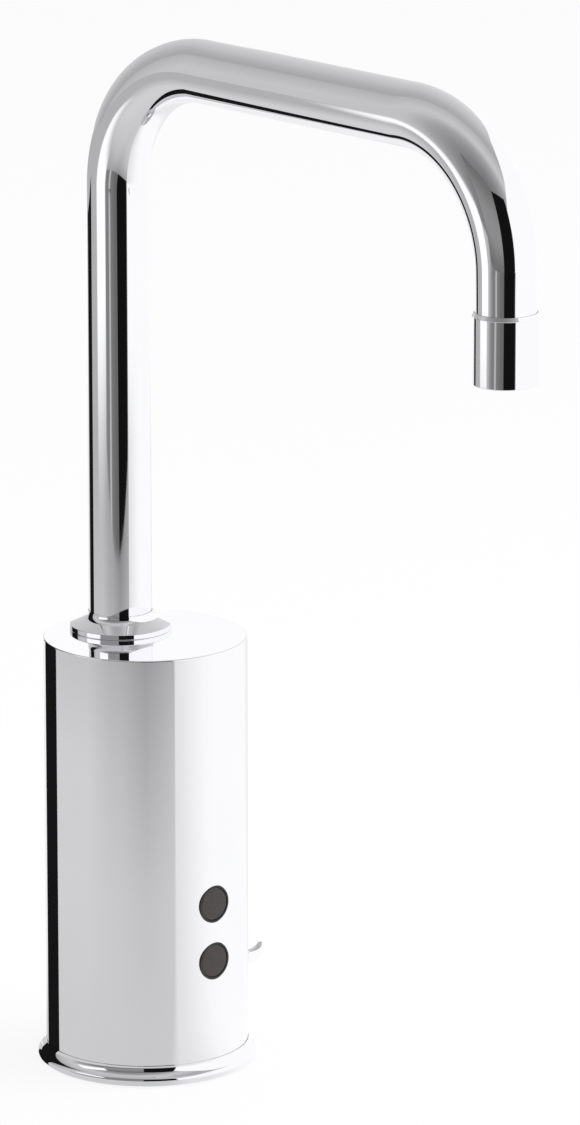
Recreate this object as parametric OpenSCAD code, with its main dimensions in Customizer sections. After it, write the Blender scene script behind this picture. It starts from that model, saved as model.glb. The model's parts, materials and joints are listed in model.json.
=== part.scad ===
// Touch-free basin tap: a cylindrical body on a moulded foot, a square gooseneck spout,
// two round sensor windows and a small temperature lever.
// The origin is the middle of the two stud holes, on the deck. +Z is up, the windows
// face -Y and the lever stands on the user's right, +X.

/* [Body] */
// Outside diameter of the body
body_d = 61.3; // [61:0.1:64]
// Height of the body's flat top above the deck
body_h = 132; // [129:0.5:140]
// Wall of the body
body_wall = 2; // [1.7:0.1:2.1]
// Thickness of the flat top
top_t = 3; // [2.5:0.1:3.5]
// Chamfer round the top edge
edge = 0.3; // [0.1:0.1:0.6]

/* [Foot ring] */
// How far the bead stands out from the body
bead_out = 2.5; // [2.2:0.1:3]
// Radius of the bead
bead_r = 1.5; // [1.2:0.05:1.6]
// Height of the bead's widest line
bead_z = 1.8; // [1.7:0.1:2.2]
// Height of the ring
ring_h = 6; // [5.6:0.1:6]
// Thickness of the ring's upper lip
ring_lip = 0.2; // [0.2:0.05:0.4]

/* [Base and supply] */
// Height of the base's lower flange, on which the body stands
flange_h = 3; // [2.5:0.1:3.5]
// Height of the base's top
base_h = 12; // [11.8:0.1:12.5]
// Distance between the two stud holes
stud_pitch = 25; // [24:0.5:27]
// Tapping diameter of the stud holes
stud_hole_d = 5; // [4.2:0.1:5.2]
// Distance between the two hose ports
port_pitch = 15; // [14.8:0.1:15.4]
// Tapping diameter of the hose ports
port_d = 8.92; // [8.4:0.01:9.2]
// Depth of the hose ports
port_depth = 8; // [7:0.1:8.5]
// Bore that holds a non-return valve
check_bore_d = 10.4; // [10:0.1:10.5]
// Depth of that bore in the water block
check_rise = 7.5; // [7:0.1:8]
// Lift of a non-return valve
check_lift = 2; // [1.5:0.1:2.2]

/* [Spout] */
// Outside diameter of the drawn tube
tube_d = 19.05; // [18.8:0.05:19.3]
// Wall of the tube
tube_wall = 1.2; // [1:0.05:1.3]
// Distance of the riser behind the body's axis
riser_y = 11.2; // [10.8:0.1:11.5]
// Distance from the riser to the outlet
reach = 165.5; // [140:0.5:200]
// Height of the level arm's axis
arm_z = 307.7; // [305:0.1:340]
// Radius of both bends, to the tube's axis
bend_r = 39; // [30:0.5:41]

/* [Collar] */
// Outside diameter of the collar
collar_d = 30.5; // [29.5:0.1:31]
// Height of the collar's upright band
collar_band = 1.65; // [1.5:0.05:1.8]
// Slope of the collar's cone
flare_angle = 23; // [20:1:25]
// Radius of the hollow between the cone and the tube
flare_r = 2.6; // [1.8:0.1:2.8]
// Height of the collar's upright lip above the hollow
collar_neck = 0.1; // [0:0.1:0.5]

/* [Outlet] */
// How far the outlet lies below the level arm's axis
outlet_drop = 71.9; // [69.7:0.1:92.7]
// Height of the outlet sleeve, up to its rim
sleeve_h = 19.9; // [18.5:0.1:21]
// Outside diameter of the sleeve
sleeve_d = 19.2; // [19:0.05:19.4]
// How far the rim stands out from the sleeve
rim_out = 0.15; // [0.05:0.05:0.3]
// Height of the conical shoulder above the rim
shoulder_h = 1.9; // [1.5:0.1:2.4]
// Rounding of the sleeve's lower edge
sleeve_edge = 0.9; // [0.5:0.1:1.2]
// How much slimmer the tube is at its neck, on the radius
neck_in = 0.55; // [0.3:0.05:0.6]
// Length of the tapered neck
neck_h = 4.5; // [3:0.1:7]
// Wall between the openings of the aerator
rib_t = 0.8; // [0.6:0.05:0.9]

/* [Sensor windows] */
// Height of the lower window's centre
lower_window_z = 36.6; // [36.5:0.1:37.5]
// Distance between the windows' centres
window_pitch = 17.8; // [17:0.1:18.2]
// Outside diameter of a window's black rim
window_d = 11.3; // [11:0.1:11.6]
// Width of the black rim
window_rim = 0.6; // [0.5:0.05:0.8]
// Thickness of a window
lens_t = 2; // [1.8:0.1:2.2]

/* [Temperature lever] */
// Height of the lever's axis above the deck
lever_z = 22.8; // [22.6:0.1:22.9]
// Diameter of the lever's hub
hub_d = 13; // [12.6:0.1:14]
// Width of the hub's round part along its axis
hub_w = 4.2; // [4:0.1:5]
// Length of the cone between the hub and the finger
hub_cone = 3.9; // [3:0.1:4.5]
// Diameter of the finger where it leaves the hub
finger_d = 4.2; // [3.6:0.1:5]
// How far the finger's root lies below the hub's axis
finger_drop = 0.4; // [0:0.1:0.8]
// Diameter of the finger's tip
tip_d = 2.2; // [1.4:0.1:2.6]
// How far the lever stands out from the body
lever_out = 17.1; // [16:0.1:20]
// Length of the finger's curl
curl_len = 5.4; // [4.5:0.1:6]
// Height of the tip above the finger's root
curl_rise = 3.6; // [2.5:0.1:6]
// Diameter of the spindle
spindle_d = 6; // [5.6:0.1:6.4]

/* [Valve] */
// Lift of the armature
armature_lift = 2; // [1.8:0.1:2.1]
// Lift of the diaphragm
diaphragm_lift = 1.5; // [1.2:0.1:1.5]
// Diameter of the diaphragm's free part
diaphragm_d = 18; // [17:0.1:18.2]
// Thickness of the diaphragm
diaphragm_t = 1; // [0.8:0.1:1.2]
// Outside diameter of the coil
coil_d = 18.4; // [17:0.1:18.6]
// Height of the coil
coil_h = 22; // [20:0.5:23]

/* [Battery] */
// Width of the battery
cell_w = 34.8; // [33:0.1:35]
// Depth of the battery
cell_d = 19.5; // [18:0.1:19.6]
// Clear height between the battery and the spout's nut
cell_room = 17.2; // [17:0.1:19]

/* [Hidden] */
$fn = 64;

// Overrun of every cut past the face it starts from
cut = 1;
// Radial clearance of a piece that is located by another
slip = 0.1;
// Radial clearance of a turning or sliding fit
run = 0.05;
// Free space between pieces that only pass each other
free = 0.3;
// Small bevel on hidden pieces
bevel = 0.4;

chrome_look = "gainsboro";
brass_look = "goldenrod";
steel_look = "silver";
rubber_look = "dimgray";
white_look = "whitesmoke";
black_look = "black";
lens_look = "darkslategray";
ceramic_look = "white";
board_look = "darkgreen";
cell_look = "steelblue";

// Cap screws, seals and springs
screw_head_r = 2;
screw_head_h = 1.6;
screw_r = 1.2;
screw_socket_r = 0.9;
screw_socket_depth = 0.9;
seal_r = 0.7;
spring_wire_r = 0.3;

// Body and foot
body_r = body_d / 2;
inner_r = body_r - body_wall;
ring_bore_r = body_r + slip;
bead_x = body_r + bead_out - bead_r;
// the cove starts upright at the lip and runs into the bead without an edge
cove_lip_x = ring_bore_r + ring_lip;
cove_lip_in = bead_x - cove_lip_x;
cove_r = (pow(ring_h - bead_z, 2) + pow(cove_lip_in, 2) - pow(bead_r, 2)) / (2 * (bead_r + cove_lip_in));
cove_x = cove_lip_x + cove_r;

// Base
spigot_r = inner_r - 2 * slip;
gasket_out_r = 27;
gasket_in_r = 21.5;
gasket_t = 1.8;
screw_z = 8.6;
grub_r = 2.4;
grub_len = 8;
grub_socket_r = 1.4;
grub_socket_depth = 3;
port_x = port_pitch / 2;
port_seal_x = 6.3;

// Water block, whose lugs are screwed down to the base
block_x = 15;
block_front = -14;
block_back = 20;
block_top = 36;
block_h = block_top - base_h;
lug_r = 3.4;
lug_h = 5;
lug_thread = 7;
lug_x = block_x + lug_r;
lug_y = block_back - lug_r;
check_bore_r = check_bore_d / 2;
check_top = base_h + check_rise;
// Ways from the non-return valves to the discs
way_r = 1.8;
way_side = 3.2;
way_rise = 2.8;
// Boss and bore of the cartridge; the round wall falls away across the boss
disc_x = 13;
boss_r = 10.4;
cartridge_bore_r = 8.1;
boss_drop = inner_r - sqrt(inner_r * inner_r - boss_r * boss_r);
boss_end = inner_r - 2 * slip - boss_drop;
// Way of the mixed water to the solenoid valve, in a pad on the block
mix_r = 1.5;
mix_x = 16.75;
mix_z = 33.4;
pad_w = 8;
// Way from the solenoid valve to the tower, where the tail plugs in
out_way_z = 29.2;
out_way_r = 2;
tower_low_r = 6;
tower_r = 8.5;
tower_top = 66;
socket_r = 6.1;
socket_depth = 14;
socket_floor = 2;
ear_pitch_x = 11;
tower_ear_r = 3.2;
tower_ear_h = 8;
holder_thread = 7;

// Spout
tube_r = tube_d / 2;
tube_in_r = tube_r - tube_wall;
leg_y = riser_y - reach;
bend_z = arm_z - bend_r;
tail_spigot_h = 10;
tail_thread_r = 8;
tail_thread_h = 18;
tail_r = 6;
tail_bore_r = 4;
tail_end = tower_top - socket_depth + free;
tail_seal_zs = [tail_end + 3, tail_end + 7];
nut_r = 12.5;
nut_h = 6;
washer_r = 12.5;
washer_t = 1.5;

// Collar: the hollow is tangent to the cone and stands clear of the tube by its lip
collar_r = collar_d / 2;
collar_bore_r = tube_r + slip;
collar_lip = 0.1;
collar_seal_x = 12.4;
hollow_x = collar_bore_r + collar_lip + flare_r;
hollow_z = collar_band + (collar_r - hollow_x) * tan(flare_angle) + flare_r / cos(flare_angle);
collar_h = hollow_z + collar_neck;

// Outlet
sleeve_r = sleeve_d / 2;
rim_r = sleeve_r + rim_out;
outlet_z = arm_z - outlet_drop;
rim_z = outlet_z + sleeve_h;
shoulder_z = rim_z + shoulder_h;
neck_r = tube_r - neck_in;
neck_z = shoulder_z + neck_h;
sleeve_bore_r = 8.3;
sleeve_lip_r = 7.3;
sleeve_lip_h = 1.4;
adaptor_r = sleeve_bore_r - slip;
adaptor_bore_r = 6.2;
adaptor_spigot = 8;
insert_h = 4.6;
insert_in_r = 6.8;
screen_t = 0.6;
screen_pitch = 2.4;
aerator_seal_t = 1.4;
insert_z = outlet_z + sleeve_lip_h;
screen_z = insert_z + insert_h;
aerator_seal_z = screen_z + screen_t;
adaptor_z = aerator_seal_z + aerator_seal_t;

// Sensor unit, screwed to two bosses inside the wall
upper_window_z = lower_window_z + window_pitch;
window_zs = [lower_window_z, upper_window_z];
nose_r = window_d / 2;
lens_r = nose_r - window_rim;
lens_bevel = 0.25;
eye_r = 3.6;
housing_x = 12;
housing_wall = 1.4;
housing_over = 9.2;
housing_low = lower_window_z - housing_over;
housing_top = upper_window_z + housing_over;
housing_front = inner_r - 4;
housing_back = 15.6;
cover_t = 1.1;
sensor_ear_x = 15.4;
sensor_ear_r = 2.7;
sensor_ear_y = 18.4;
sensor_ear_t = 1.5;
sensor_ear_z = (lower_window_z + upper_window_z) / 2;
sensor_thread = 3.2;
board_t = 1.6;
board_y = 18;
led_r = 2.5;
led_h = 4.5;
led_y = board_y + board_t + led_h;

// Non-return valves
strainer_t = 0.8;
strainer_hole_r = 0.5;
strainer_hole_pitch = 1.7;
check_z = port_depth + strainer_t;
check_len = check_top - check_z - slip;
check_r = check_bore_r - slip;
check_in_r = check_r - 1.3;
check_seat_t = 1.4;
check_seat_r = 2.4;
poppet_r = 3.2;
poppet_t = 1.2;
stem_r = 0.9;
spider_t = 1.2;
spider_z = check_len - check_lift - spider_t;
check_spring_z = check_seat_t + poppet_t;
check_spring_r = 2.6;
check_turns = 3;

// Cartridge and lever
disc_r = 7;
disc_t = 2.5;
// Inner edge and half angle of the moving disc's notch
notch_r = 2.4;
notch_angle = 45;
carrier_x = disc_x + 2 * disc_t;
carrier_r = 6.5;
carrier_t = 2;
cup_r = cartridge_bore_r - slip;
cup_in_r = disc_r + 2 * slip;
cup_inner_end = carrier_x + carrier_t + run;
cup_end = cup_inner_end + 3.6;
spindle_r = spindle_d / 2;
spindle_seal_r = 0.75;
spindle_seal_x = spindle_r + run + spindle_seal_r;
spindle_groove_x = cup_inner_end + 1;
spindle_grip = 5;
spindle_flat = 0.6;
nut_hole_r = 4.6;
bush_r = 5.2;
bush_flange_r = 6.6;
bush_flange_t = 1;
bush_x = sqrt(inner_r * inner_r - bush_flange_r * bush_flange_r);
hub_r = hub_d / 2;
hub_x = body_r + 2 * free;
lever_grub_r = 1.5;
lever_grub_len = 3.2;
lever_grub_x = hub_x + spindle_grip / 2;

// The finger runs straight out and then curls up in a quarter of an ellipse
finger_steps = 6;
ball_facets = 24;
tip_r = tip_d / 2;
curl_x = body_r + lever_out - tip_r - curl_len;
function curl_point(t) =
    [curl_x + curl_len * sin(90 * t), 0, (curl_rise - tip_r) * (1 - cos(90 * t)) - finger_drop];
function finger_r(t) = finger_d / 2 + (tip_r - finger_d / 2) * t * t;

// Solenoid valve
valve_x = -14;
valve_y = -1.5;
chamber_r = diaphragm_d / 2;
chamber_depth = 3.8;
seat_r = 4.6;
seat_bore_r = 3.2;
diaphragm_r = chamber_r + 2;
diaphragm_top = block_top + diaphragm_t;
insert_plate_r = 6;
insert_plate_t = 1.2;
insert_hub_r = 3.6;
insert_plug_r = 2.7;
insert_plug_h = 3;
pilot_r = 0.5;
pilot_z = diaphragm_top + insert_plate_t;
armature_wall = 0.5;
bonnet_r = diaphragm_r + 1.2;
bonnet_top_t = 1.5;
bonnet_h = diaphragm_t + insert_plate_t + diaphragm_lift + free + armature_wall + bonnet_top_t;
bonnet_top = block_top + bonnet_h;
bonnet_ceiling = bonnet_top - bonnet_top_t;
bonnet_ear_x = bonnet_r + 1;
bonnet_ear_r = 3;
bonnet_thread = 6;
// Directions of the bonnet's three screws
bonnet_angles = [120, 235, 335];
armature_r = 3.6;
armature_h = 14;
armature_tip_r = 1.4;
armature_tip_h = 1;
armature_z = pilot_z + armature_tip_h;
armature_top = armature_z + armature_h;
guide_r = armature_r + run;
guide_out_r = guide_r + armature_wall;
coil_bore_r = guide_out_r + slip;
stop_z = armature_top + armature_lift + free;
stop_h = 4;
spring_pocket = 5;
spring_pocket_r = 2.2;
armature_spring_r = 1.8;
armature_turns = 5;

// Battery
cell_y = -10.3;
cell_gap = 0.3;
cell_notch = 6;
cell_notch_depth = 1.2;
holder_wall = 1.4;
holder_floor = 2.5;
holder_cup_h = 14;
holder_x = cell_w / 2 + cell_gap + holder_wall;
holder_half_d = cell_d / 2 + cell_gap + holder_wall;
cell_z = tower_top + holder_floor;
cell_h = body_h - top_t - washer_t - nut_h - cell_room - cell_z;

// A ring with the given radii and height
module ring(r_out, r_in, h) {
    linear_extrude(h)
        difference() {
            circle(r_out);
            circle(r_in);
        }
}

// A disc or a shaft along +X
module along_x(r, h) {
    rotate([0, 90, 0])
        cylinder(r = r, h = h);
}

// A disc or a shaft along +Y
module along_y(r, h) {
    rotate([-90, 0, 0])
        cylinder(r = r, h = h);
}

// A rubber ring of round section, lying flat
module torus(centre_r, wire_r) {
    rotate_extrude()
        translate([centre_r, 0])
            circle(wire_r, $fn = 24);
}

// A socket-head screw that points down, with the underside of its head at zero
module cap_screw(len) {
    translate([0, 0, -len])
        cylinder(r = screw_r, h = len);
    difference() {
        cylinder(r = screw_head_r, h = screw_head_h);
        translate([0, 0, screw_head_h - screw_socket_depth])
            cylinder(r = screw_socket_r, h = screw_socket_depth + cut, $fn = 6);
    }
}

// A grub screw along +Y with a hexagon socket in its far end
module grub(r, len, socket_r, socket_depth) {
    difference() {
        along_y(r, len);
        translate([0, len - socket_depth, 0])
            rotate([-90, 0, 0])
                cylinder(r = socket_r, h = socket_depth + cut, $fn = 6);
    }
}

// A round wire wound into a helix, from the height of zero up to h
module spring(turn_r, h, turns) {
    sides = 6;
    per_turn = 10;
    rings = turns * per_turn;
    rise = (h - 2 * spring_wire_r) / rings;
    points = [
        for (i = [0 : rings], k = [0 : sides - 1])
            let (a = 360 * i / per_turn, b = 360 * k / sides, r = turn_r + spring_wire_r * cos(b))
                [r * cos(a), r * sin(a), i * rise + spring_wire_r * (1 + sin(b))]
    ];
    walls = [
        for (i = [0 : rings - 1], k = [0 : sides - 1])
            let (a = i * sides + k, b = i * sides + (k + 1) % sides)
                each [[a, a + sides, b], [b, a + sides, b + sides]]
    ];
    last = rings * sides;
    start_cap = [for (k = [1 : sides - 2]) [0, k, k + 1]];
    end_cap = [for (k = [1 : sides - 2]) [last, last + k + 1, last + k]];
    polyhedron(points = points, faces = concat(walls, start_cap, end_cap));
}

// Body and foot

module body_shell() {
    color(chrome_look)
        difference() {
            union() {
                rotate_extrude()
                    polygon([
                        [0, body_h], [body_r - edge, body_h], [body_r, body_h - edge], [body_r, flange_h],
                        [inner_r, flange_h], [inner_r, body_h - top_t], [0, body_h - top_t]
                    ]);
                sensor_bosses();
            }
            translate([0, riser_y, body_h - top_t - cut])
                cylinder(r = tail_thread_r + slip, h = top_t + 2 * cut);
            for (z = window_zs)
                translate([0, -body_r - cut, z])
                    along_y(nose_r + slip, body_wall + 3 * cut);
            translate([inner_r - 2 * cut, 0, lever_z])
                along_x(bush_r + slip, body_wall + 4 * cut);
            translate([0, inner_r - cut, screw_z])
                along_y(grub_r + slip, body_wall + 2 * cut);
            for (x = [-sensor_ear_x, sensor_ear_x])
                translate([x, -sensor_ear_y - sensor_ear_t - sensor_thread, sensor_ear_z])
                    along_y(screw_r, sensor_thread + cut);
        }
}

// Two bosses inside the wall, which carry the sensor unit
module sensor_bosses() {
    intersection() {
        for (x = [-sensor_ear_x, sensor_ear_x])
            translate([x, -body_r, sensor_ear_z])
                along_y(sensor_ear_r, body_r - sensor_ear_y - sensor_ear_t);
        translate([0, 0, sensor_ear_z - sensor_ear_r - cut])
            cylinder(r = inner_r + body_wall / 2, h = 2 * (sensor_ear_r + cut));
    }
}

module base_ring() {
    color(chrome_look)
        rotate_extrude()
            difference() {
                union() {
                    polygon([
                        [ring_bore_r, 0], [bead_x, 0], [bead_x, bead_z],
                        [cove_x, ring_h], [ring_bore_r, ring_h]
                    ]);
                    translate([bead_x, bead_z])
                        circle(bead_r);
                }
                translate([cove_x, ring_h])
                    circle(cove_r);
                square([ring_bore_r, ring_h]);
            }
}

module mounting_base() {
    color(brass_look)
        difference() {
            union() {
                cylinder(r = body_r, h = flange_h);
                translate([0, 0, flange_h])
                    cylinder(r = spigot_r, h = base_h - flange_h);
            }
            translate([0, 0, -cut])
                ring(gasket_out_r + slip, gasket_in_r - slip, gasket_t + cut);
            for (s = [-1, 1]) {
                translate([0, s * stud_pitch / 2, -cut])
                    cylinder(d = stud_hole_d, h = base_h + 2 * cut);
                translate([s * port_x, 0, -cut])
                    cylinder(d = port_d, h = port_depth + 2 * cut);
                translate([s * port_x, 0, port_depth])
                    cylinder(r = check_bore_r, h = base_h);
                translate([s * port_x, 0, base_h - 2 * seal_r])
                    ring(port_seal_x + seal_r + slip, port_seal_x - seal_r - slip, 2 * seal_r + cut);
                translate([s * lug_x, lug_y, base_h - lug_thread])
                    cylinder(r = screw_r, h = lug_thread + cut);
            }
            translate([0, spigot_r - grub_len, screw_z])
                along_y(grub_r, grub_len + cut);
        }
}

module deck_gasket() {
    color(rubber_look)
        ring(gasket_out_r, gasket_in_r, gasket_t - slip);
}

module shell_screw() {
    color(steel_look)
        translate([0, inner_r + body_wall / 2 - grub_len, screw_z])
            grub(grub_r - run, grub_len, grub_socket_r, grub_socket_depth);
}

// Spout

// A quarter bend of the tube, from +Y round to +Z, about the origin
module elbow() {
    rotate([90, 0, 90])
        rotate_extrude(angle = 90)
            translate([bend_r, 0])
                difference() {
                    circle(tube_r);
                    circle(tube_in_r);
                }
}

module spout_tube() {
    color(chrome_look) {
        translate([0, riser_y, body_h])
            ring(tube_r, tube_in_r, bend_z - body_h);
        translate([0, riser_y - bend_r, bend_z])
            elbow();
        translate([0, riser_y - bend_r, arm_z])
            rotate([90, 0, 0])
                ring(tube_r, tube_in_r, reach - 2 * bend_r);
        translate([0, leg_y + bend_r, bend_z])
            mirror([0, 1, 0])
                elbow();
        translate([0, leg_y, neck_z])
            ring(tube_r, tube_in_r, bend_z - neck_z);
        translate([0, leg_y, 0])
            rotate_extrude()
                polygon([
                    [tube_in_r, rim_z], [neck_r, rim_z], [neck_r, shoulder_z],
                    [tube_r, neck_z], [tube_in_r, neck_z]
                ]);
    }
}

module spout_collar() {
    color(chrome_look)
        translate([0, riser_y, body_h])
            difference() {
                rotate_extrude()
                    difference() {
                        polygon([
                            [collar_bore_r, 0], [collar_r, 0], [collar_r, collar_band],
                            [hollow_x - flare_r * sin(flare_angle), hollow_z - flare_r * cos(flare_angle)],
                            [hollow_x, hollow_z], [hollow_x - flare_r, hollow_z],
                            [hollow_x - flare_r, collar_h], [collar_bore_r, collar_h]
                        ]);
                        translate([hollow_x, hollow_z])
                            circle(flare_r);
                    }
                translate([0, 0, -cut])
                    ring(collar_seal_x + seal_r + slip, collar_seal_x - seal_r - slip, 2 * seal_r + cut);
            }
}

module collar_seal() {
    color(rubber_look)
        translate([0, riser_y, body_h + seal_r])
            torus(collar_seal_x, seal_r);
}

module spout_tail() {
    color(brass_look)
        translate([0, riser_y, 0])
            difference() {
                union() {
                    translate([0, 0, body_h])
                        cylinder(r = tube_in_r - run, h = tail_spigot_h);
                    translate([0, 0, body_h - tail_thread_h])
                        cylinder(r = tail_thread_r, h = tail_thread_h);
                    translate([0, 0, tail_end])
                        cylinder(r = tail_r, h = body_h - tail_thread_h - tail_end);
                }
                translate([0, 0, tail_end - cut])
                    cylinder(r = tail_bore_r, h = body_h + tail_spigot_h - tail_end + 2 * cut);
                for (z = tail_seal_zs)
                    translate([0, 0, z - seal_r - slip])
                        ring(tail_r + cut, socket_r - 2 * seal_r, 2 * (seal_r + slip));
            }
}

module spout_washer() {
    color(steel_look)
        translate([0, riser_y, body_h - top_t - washer_t])
            ring(washer_r, tail_thread_r + slip, washer_t);
}

module spout_nut() {
    color(brass_look)
        translate([0, riser_y, body_h - top_t - washer_t - nut_h])
            difference() {
                cylinder(r = nut_r, h = nut_h, $fn = 6);
                translate([0, 0, -cut])
                    cylinder(r = tail_thread_r + run, h = nut_h + 2 * cut);
            }
}

module tail_seals() {
    color(rubber_look)
        for (z = tail_seal_zs)
            translate([0, riser_y, z])
                torus(socket_r - seal_r, seal_r - run);
}

// Outlet

module outlet_sleeve() {
    color(chrome_look)
        translate([0, leg_y, outlet_z])
            rotate_extrude() {
                difference() {
                    polygon([
                        [sleeve_lip_r, 0], [sleeve_r, 0], [sleeve_r, sleeve_h - rim_out], [rim_r, sleeve_h],
                        [neck_r + 2 * slip, sleeve_h + shoulder_h], [neck_r + slip, sleeve_h + shoulder_h],
                        [neck_r + slip, sleeve_h - run], [sleeve_bore_r, sleeve_h - run],
                        [sleeve_bore_r, sleeve_lip_h], [sleeve_lip_r, sleeve_lip_h]
                    ]);
                    translate([sleeve_r - sleeve_edge, 0])
                        square(sleeve_edge);
                }
                intersection() {
                    translate([sleeve_r - sleeve_edge, sleeve_edge])
                        circle(sleeve_edge);
                    translate([sleeve_r - sleeve_edge, 0])
                        square(sleeve_edge);
                }
            }
}

module outlet_adaptor() {
    color(brass_look)
        translate([0, leg_y, adaptor_z])
            difference() {
                union() {
                    cylinder(r = adaptor_r, h = rim_z - adaptor_z);
                    translate([0, 0, rim_z - adaptor_z])
                        cylinder(r = tube_in_r - run, h = adaptor_spigot);
                }
                translate([0, 0, -cut])
                    cylinder(r = adaptor_bore_r, h = rim_z - adaptor_z + adaptor_spigot + 2 * cut);
            }
}

module aerator_insert() {
    color(white_look)
        translate([0, leg_y, insert_z]) {
            ring(adaptor_r, insert_in_r, insert_h);
            linear_extrude(height = insert_h - rib_t)
                insert_web();
        }
}

// Spokes and rings of the insert, seen from below
module insert_web() {
    for (a = [0, 60, 120])
        rotate(a)
            square([2 * (insert_in_r + slip), rib_t], center = true);
    for (r = [insert_in_r / 3, 2 * insert_in_r / 3])
        difference() {
            circle(r = r + rib_t / 2);
            circle(r = r - rib_t / 2);
        }
}

module aerator_screen() {
    color(steel_look)
        translate([0, leg_y, screen_z]) {
            ring(adaptor_r, insert_in_r, screen_t);
            for (a = [0, 90], i = [-2 : 2])
                rotate([0, 0, a])
                    screen_wire(i * screen_pitch);
        }
}

// One wire of the screen, from wall to wall of its ring
module screen_wire(y) {
    half = sqrt(pow(insert_in_r + 2 * slip, 2) - y * y);
    translate([-half, y - screen_t / 2, 0])
        cube([2 * half, screen_t, screen_t]);
}

module aerator_seal() {
    color(rubber_look)
        translate([0, leg_y, aerator_seal_z])
            ring(adaptor_r, adaptor_bore_r, aerator_seal_t);
}

// Water block

module valve_manifold() {
    color(brass_look)
        difference() {
            union() {
                translate([-block_x, block_front, base_h])
                    cube([2 * block_x, block_back - block_front, block_h]);
                translate([0, -pad_w / 2, lever_z])
                    cube([mix_x + 2 * mix_r, pad_w, block_top - lever_z]);
                translate([0, 0, lever_z])
                    along_x(boss_r, boss_end);
                translate([valve_x, valve_y, base_h])
                    cylinder(r = bonnet_r, h = block_h);
                at_bonnet_screws(base_h)
                    cylinder(r = bonnet_ear_r, h = block_h);
                translate([0, riser_y, base_h])
                    cylinder(r = tower_low_r, h = tower_top - base_h);
                translate([0, riser_y, tower_top - socket_depth - socket_floor])
                    cylinder(r = tower_r, h = socket_depth + socket_floor);
                for (s = [-1, 1]) {
                    translate([s * ear_pitch_x, riser_y, tower_top - tower_ear_h])
                        cylinder(r = tower_ear_r, h = tower_ear_h);
                    translate([s * lug_x, lug_y, base_h])
                        cylinder(r = lug_r, h = lug_h);
                }
                translate([-lug_x, lug_y - lug_r, base_h])
                    cube([2 * lug_x, 2 * lug_r, lug_h]);
            }
            supply_ways();
            outlet_ways();
            screw_holes();
        }
}

// Places the children at the bonnet's screws, at the height z
module at_bonnet_screws(z) {
    for (a = bonnet_angles)
        translate([valve_x + bonnet_ear_x * cos(a), valve_y + bonnet_ear_x * sin(a), z])
            children();
}

// Hot and cold ways from the ports to the cartridge, and the cartridge's bore
module supply_ways() {
    for (s = [-1, 1]) {
        translate([s * port_x, 0, base_h - cut])
            cylinder(r = check_bore_r, h = check_rise + cut);
        translate([s * port_x, s * way_side, check_top - cut])
            cylinder(r = way_r, h = lever_z + way_rise - check_top + cut);
        translate([s * port_x, s * way_side, lever_z + way_rise])
            along_x(way_r, disc_x - s * port_x + cut);
    }
    translate([disc_x, 0, lever_z])
        along_x(cartridge_bore_r, boss_end);
}

// Mixed water's way through the solenoid valve and up to the spout's tail
module outlet_ways() {
    translate([mix_x, 0, lever_z])
        cylinder(r = mix_r, h = mix_z - lever_z);
    translate([valve_x + seat_r + mix_r, 0, mix_z])
        along_x(mix_r, mix_x - valve_x - seat_r - mix_r);
    translate([valve_x, valve_y, block_top - chamber_depth])
        ring(chamber_r, seat_r, chamber_depth + cut);
    translate([valve_x, valve_y, out_way_z])
        cylinder(r = seat_bore_r, h = block_top - out_way_z + cut);
    translate([valve_x, valve_y, out_way_z])
        rotate([0, 0, atan2(riser_y - valve_y, -valve_x)])
            along_x(out_way_r, norm([riser_y - valve_y, valve_x]));
    translate([0, riser_y, out_way_z])
        cylinder(r = tail_bore_r, h = tower_top - out_way_z + cut);
    translate([0, riser_y, tower_top - socket_depth])
        cylinder(r = socket_r, h = socket_depth + cut);
}

module screw_holes() {
    for (s = [-1, 1]) {
        translate([s * lug_x, lug_y, base_h - cut])
            cylinder(r = screw_r + slip, h = lug_h + 2 * cut);
        translate([s * ear_pitch_x, riser_y, tower_top - holder_thread])
            cylinder(r = screw_r, h = holder_thread + cut);
    }
    at_bonnet_screws(block_top - bonnet_thread)
        cylinder(r = screw_r, h = bonnet_thread + cut);
}

module port_seals() {
    color(rubber_look)
        for (s = [-1, 1])
            translate([s * port_x, 0, base_h - seal_r])
                torus(port_seal_x, seal_r);
}

module manifold_screws() {
    color(steel_look)
        for (s = [-1, 1])
            translate([s * lug_x, lug_y, base_h + lug_h])
                cap_screw(lug_h + lug_thread - 2 * slip);
}

// Strainers and non-return valves

module strainer() {
    difference() {
        cylinder(r = check_r, h = strainer_t);
        for (a = [0 : 60 : 300]) {
            rotate([0, 0, a])
                translate([strainer_hole_pitch, 0, -cut])
                    cylinder(r = strainer_hole_r, h = strainer_t + 2 * cut);
            rotate([0, 0, a + 30])
                translate([2 * strainer_hole_pitch, 0, -cut])
                    cylinder(r = strainer_hole_r, h = strainer_t + 2 * cut);
        }
    }
}

module check_body() {
    difference() {
        cylinder(r = check_r, h = check_len);
        translate([0, 0, -cut])
            cylinder(r = check_seat_r, h = check_len);
        translate([0, 0, check_seat_t])
            cylinder(r = check_in_r, h = check_len);
    }
    translate([0, 0, spider_z])
        difference() {
            union() {
                for (a = [0, 90])
                    rotate([0, 0, a])
                        translate([-check_in_r - slip, -rib_t / 2, 0])
                            cube([2 * (check_in_r + slip), rib_t, spider_t]);
                cylinder(r = stem_r + run + rib_t, h = spider_t);
            }
            translate([0, 0, -cut])
                cylinder(r = stem_r + run, h = spider_t + 2 * cut);
        }
}

module check_poppet() {
    translate([0, 0, check_seat_t])
        cylinder(r = poppet_r, h = poppet_t);
    translate([0, 0, check_spring_z])
        cylinder(r = stem_r, h = spider_z + spider_t - check_spring_z);
}

module check_spring() {
    translate([0, 0, check_spring_z + run])
        spring(check_spring_r, spider_z - check_spring_z - 2 * run, check_turns);
}

module at_hot(z) {
    translate([-port_x, 0, z])
        children();
}

module at_cold(z) {
    translate([port_x, 0, z])
        children();
}

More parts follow.
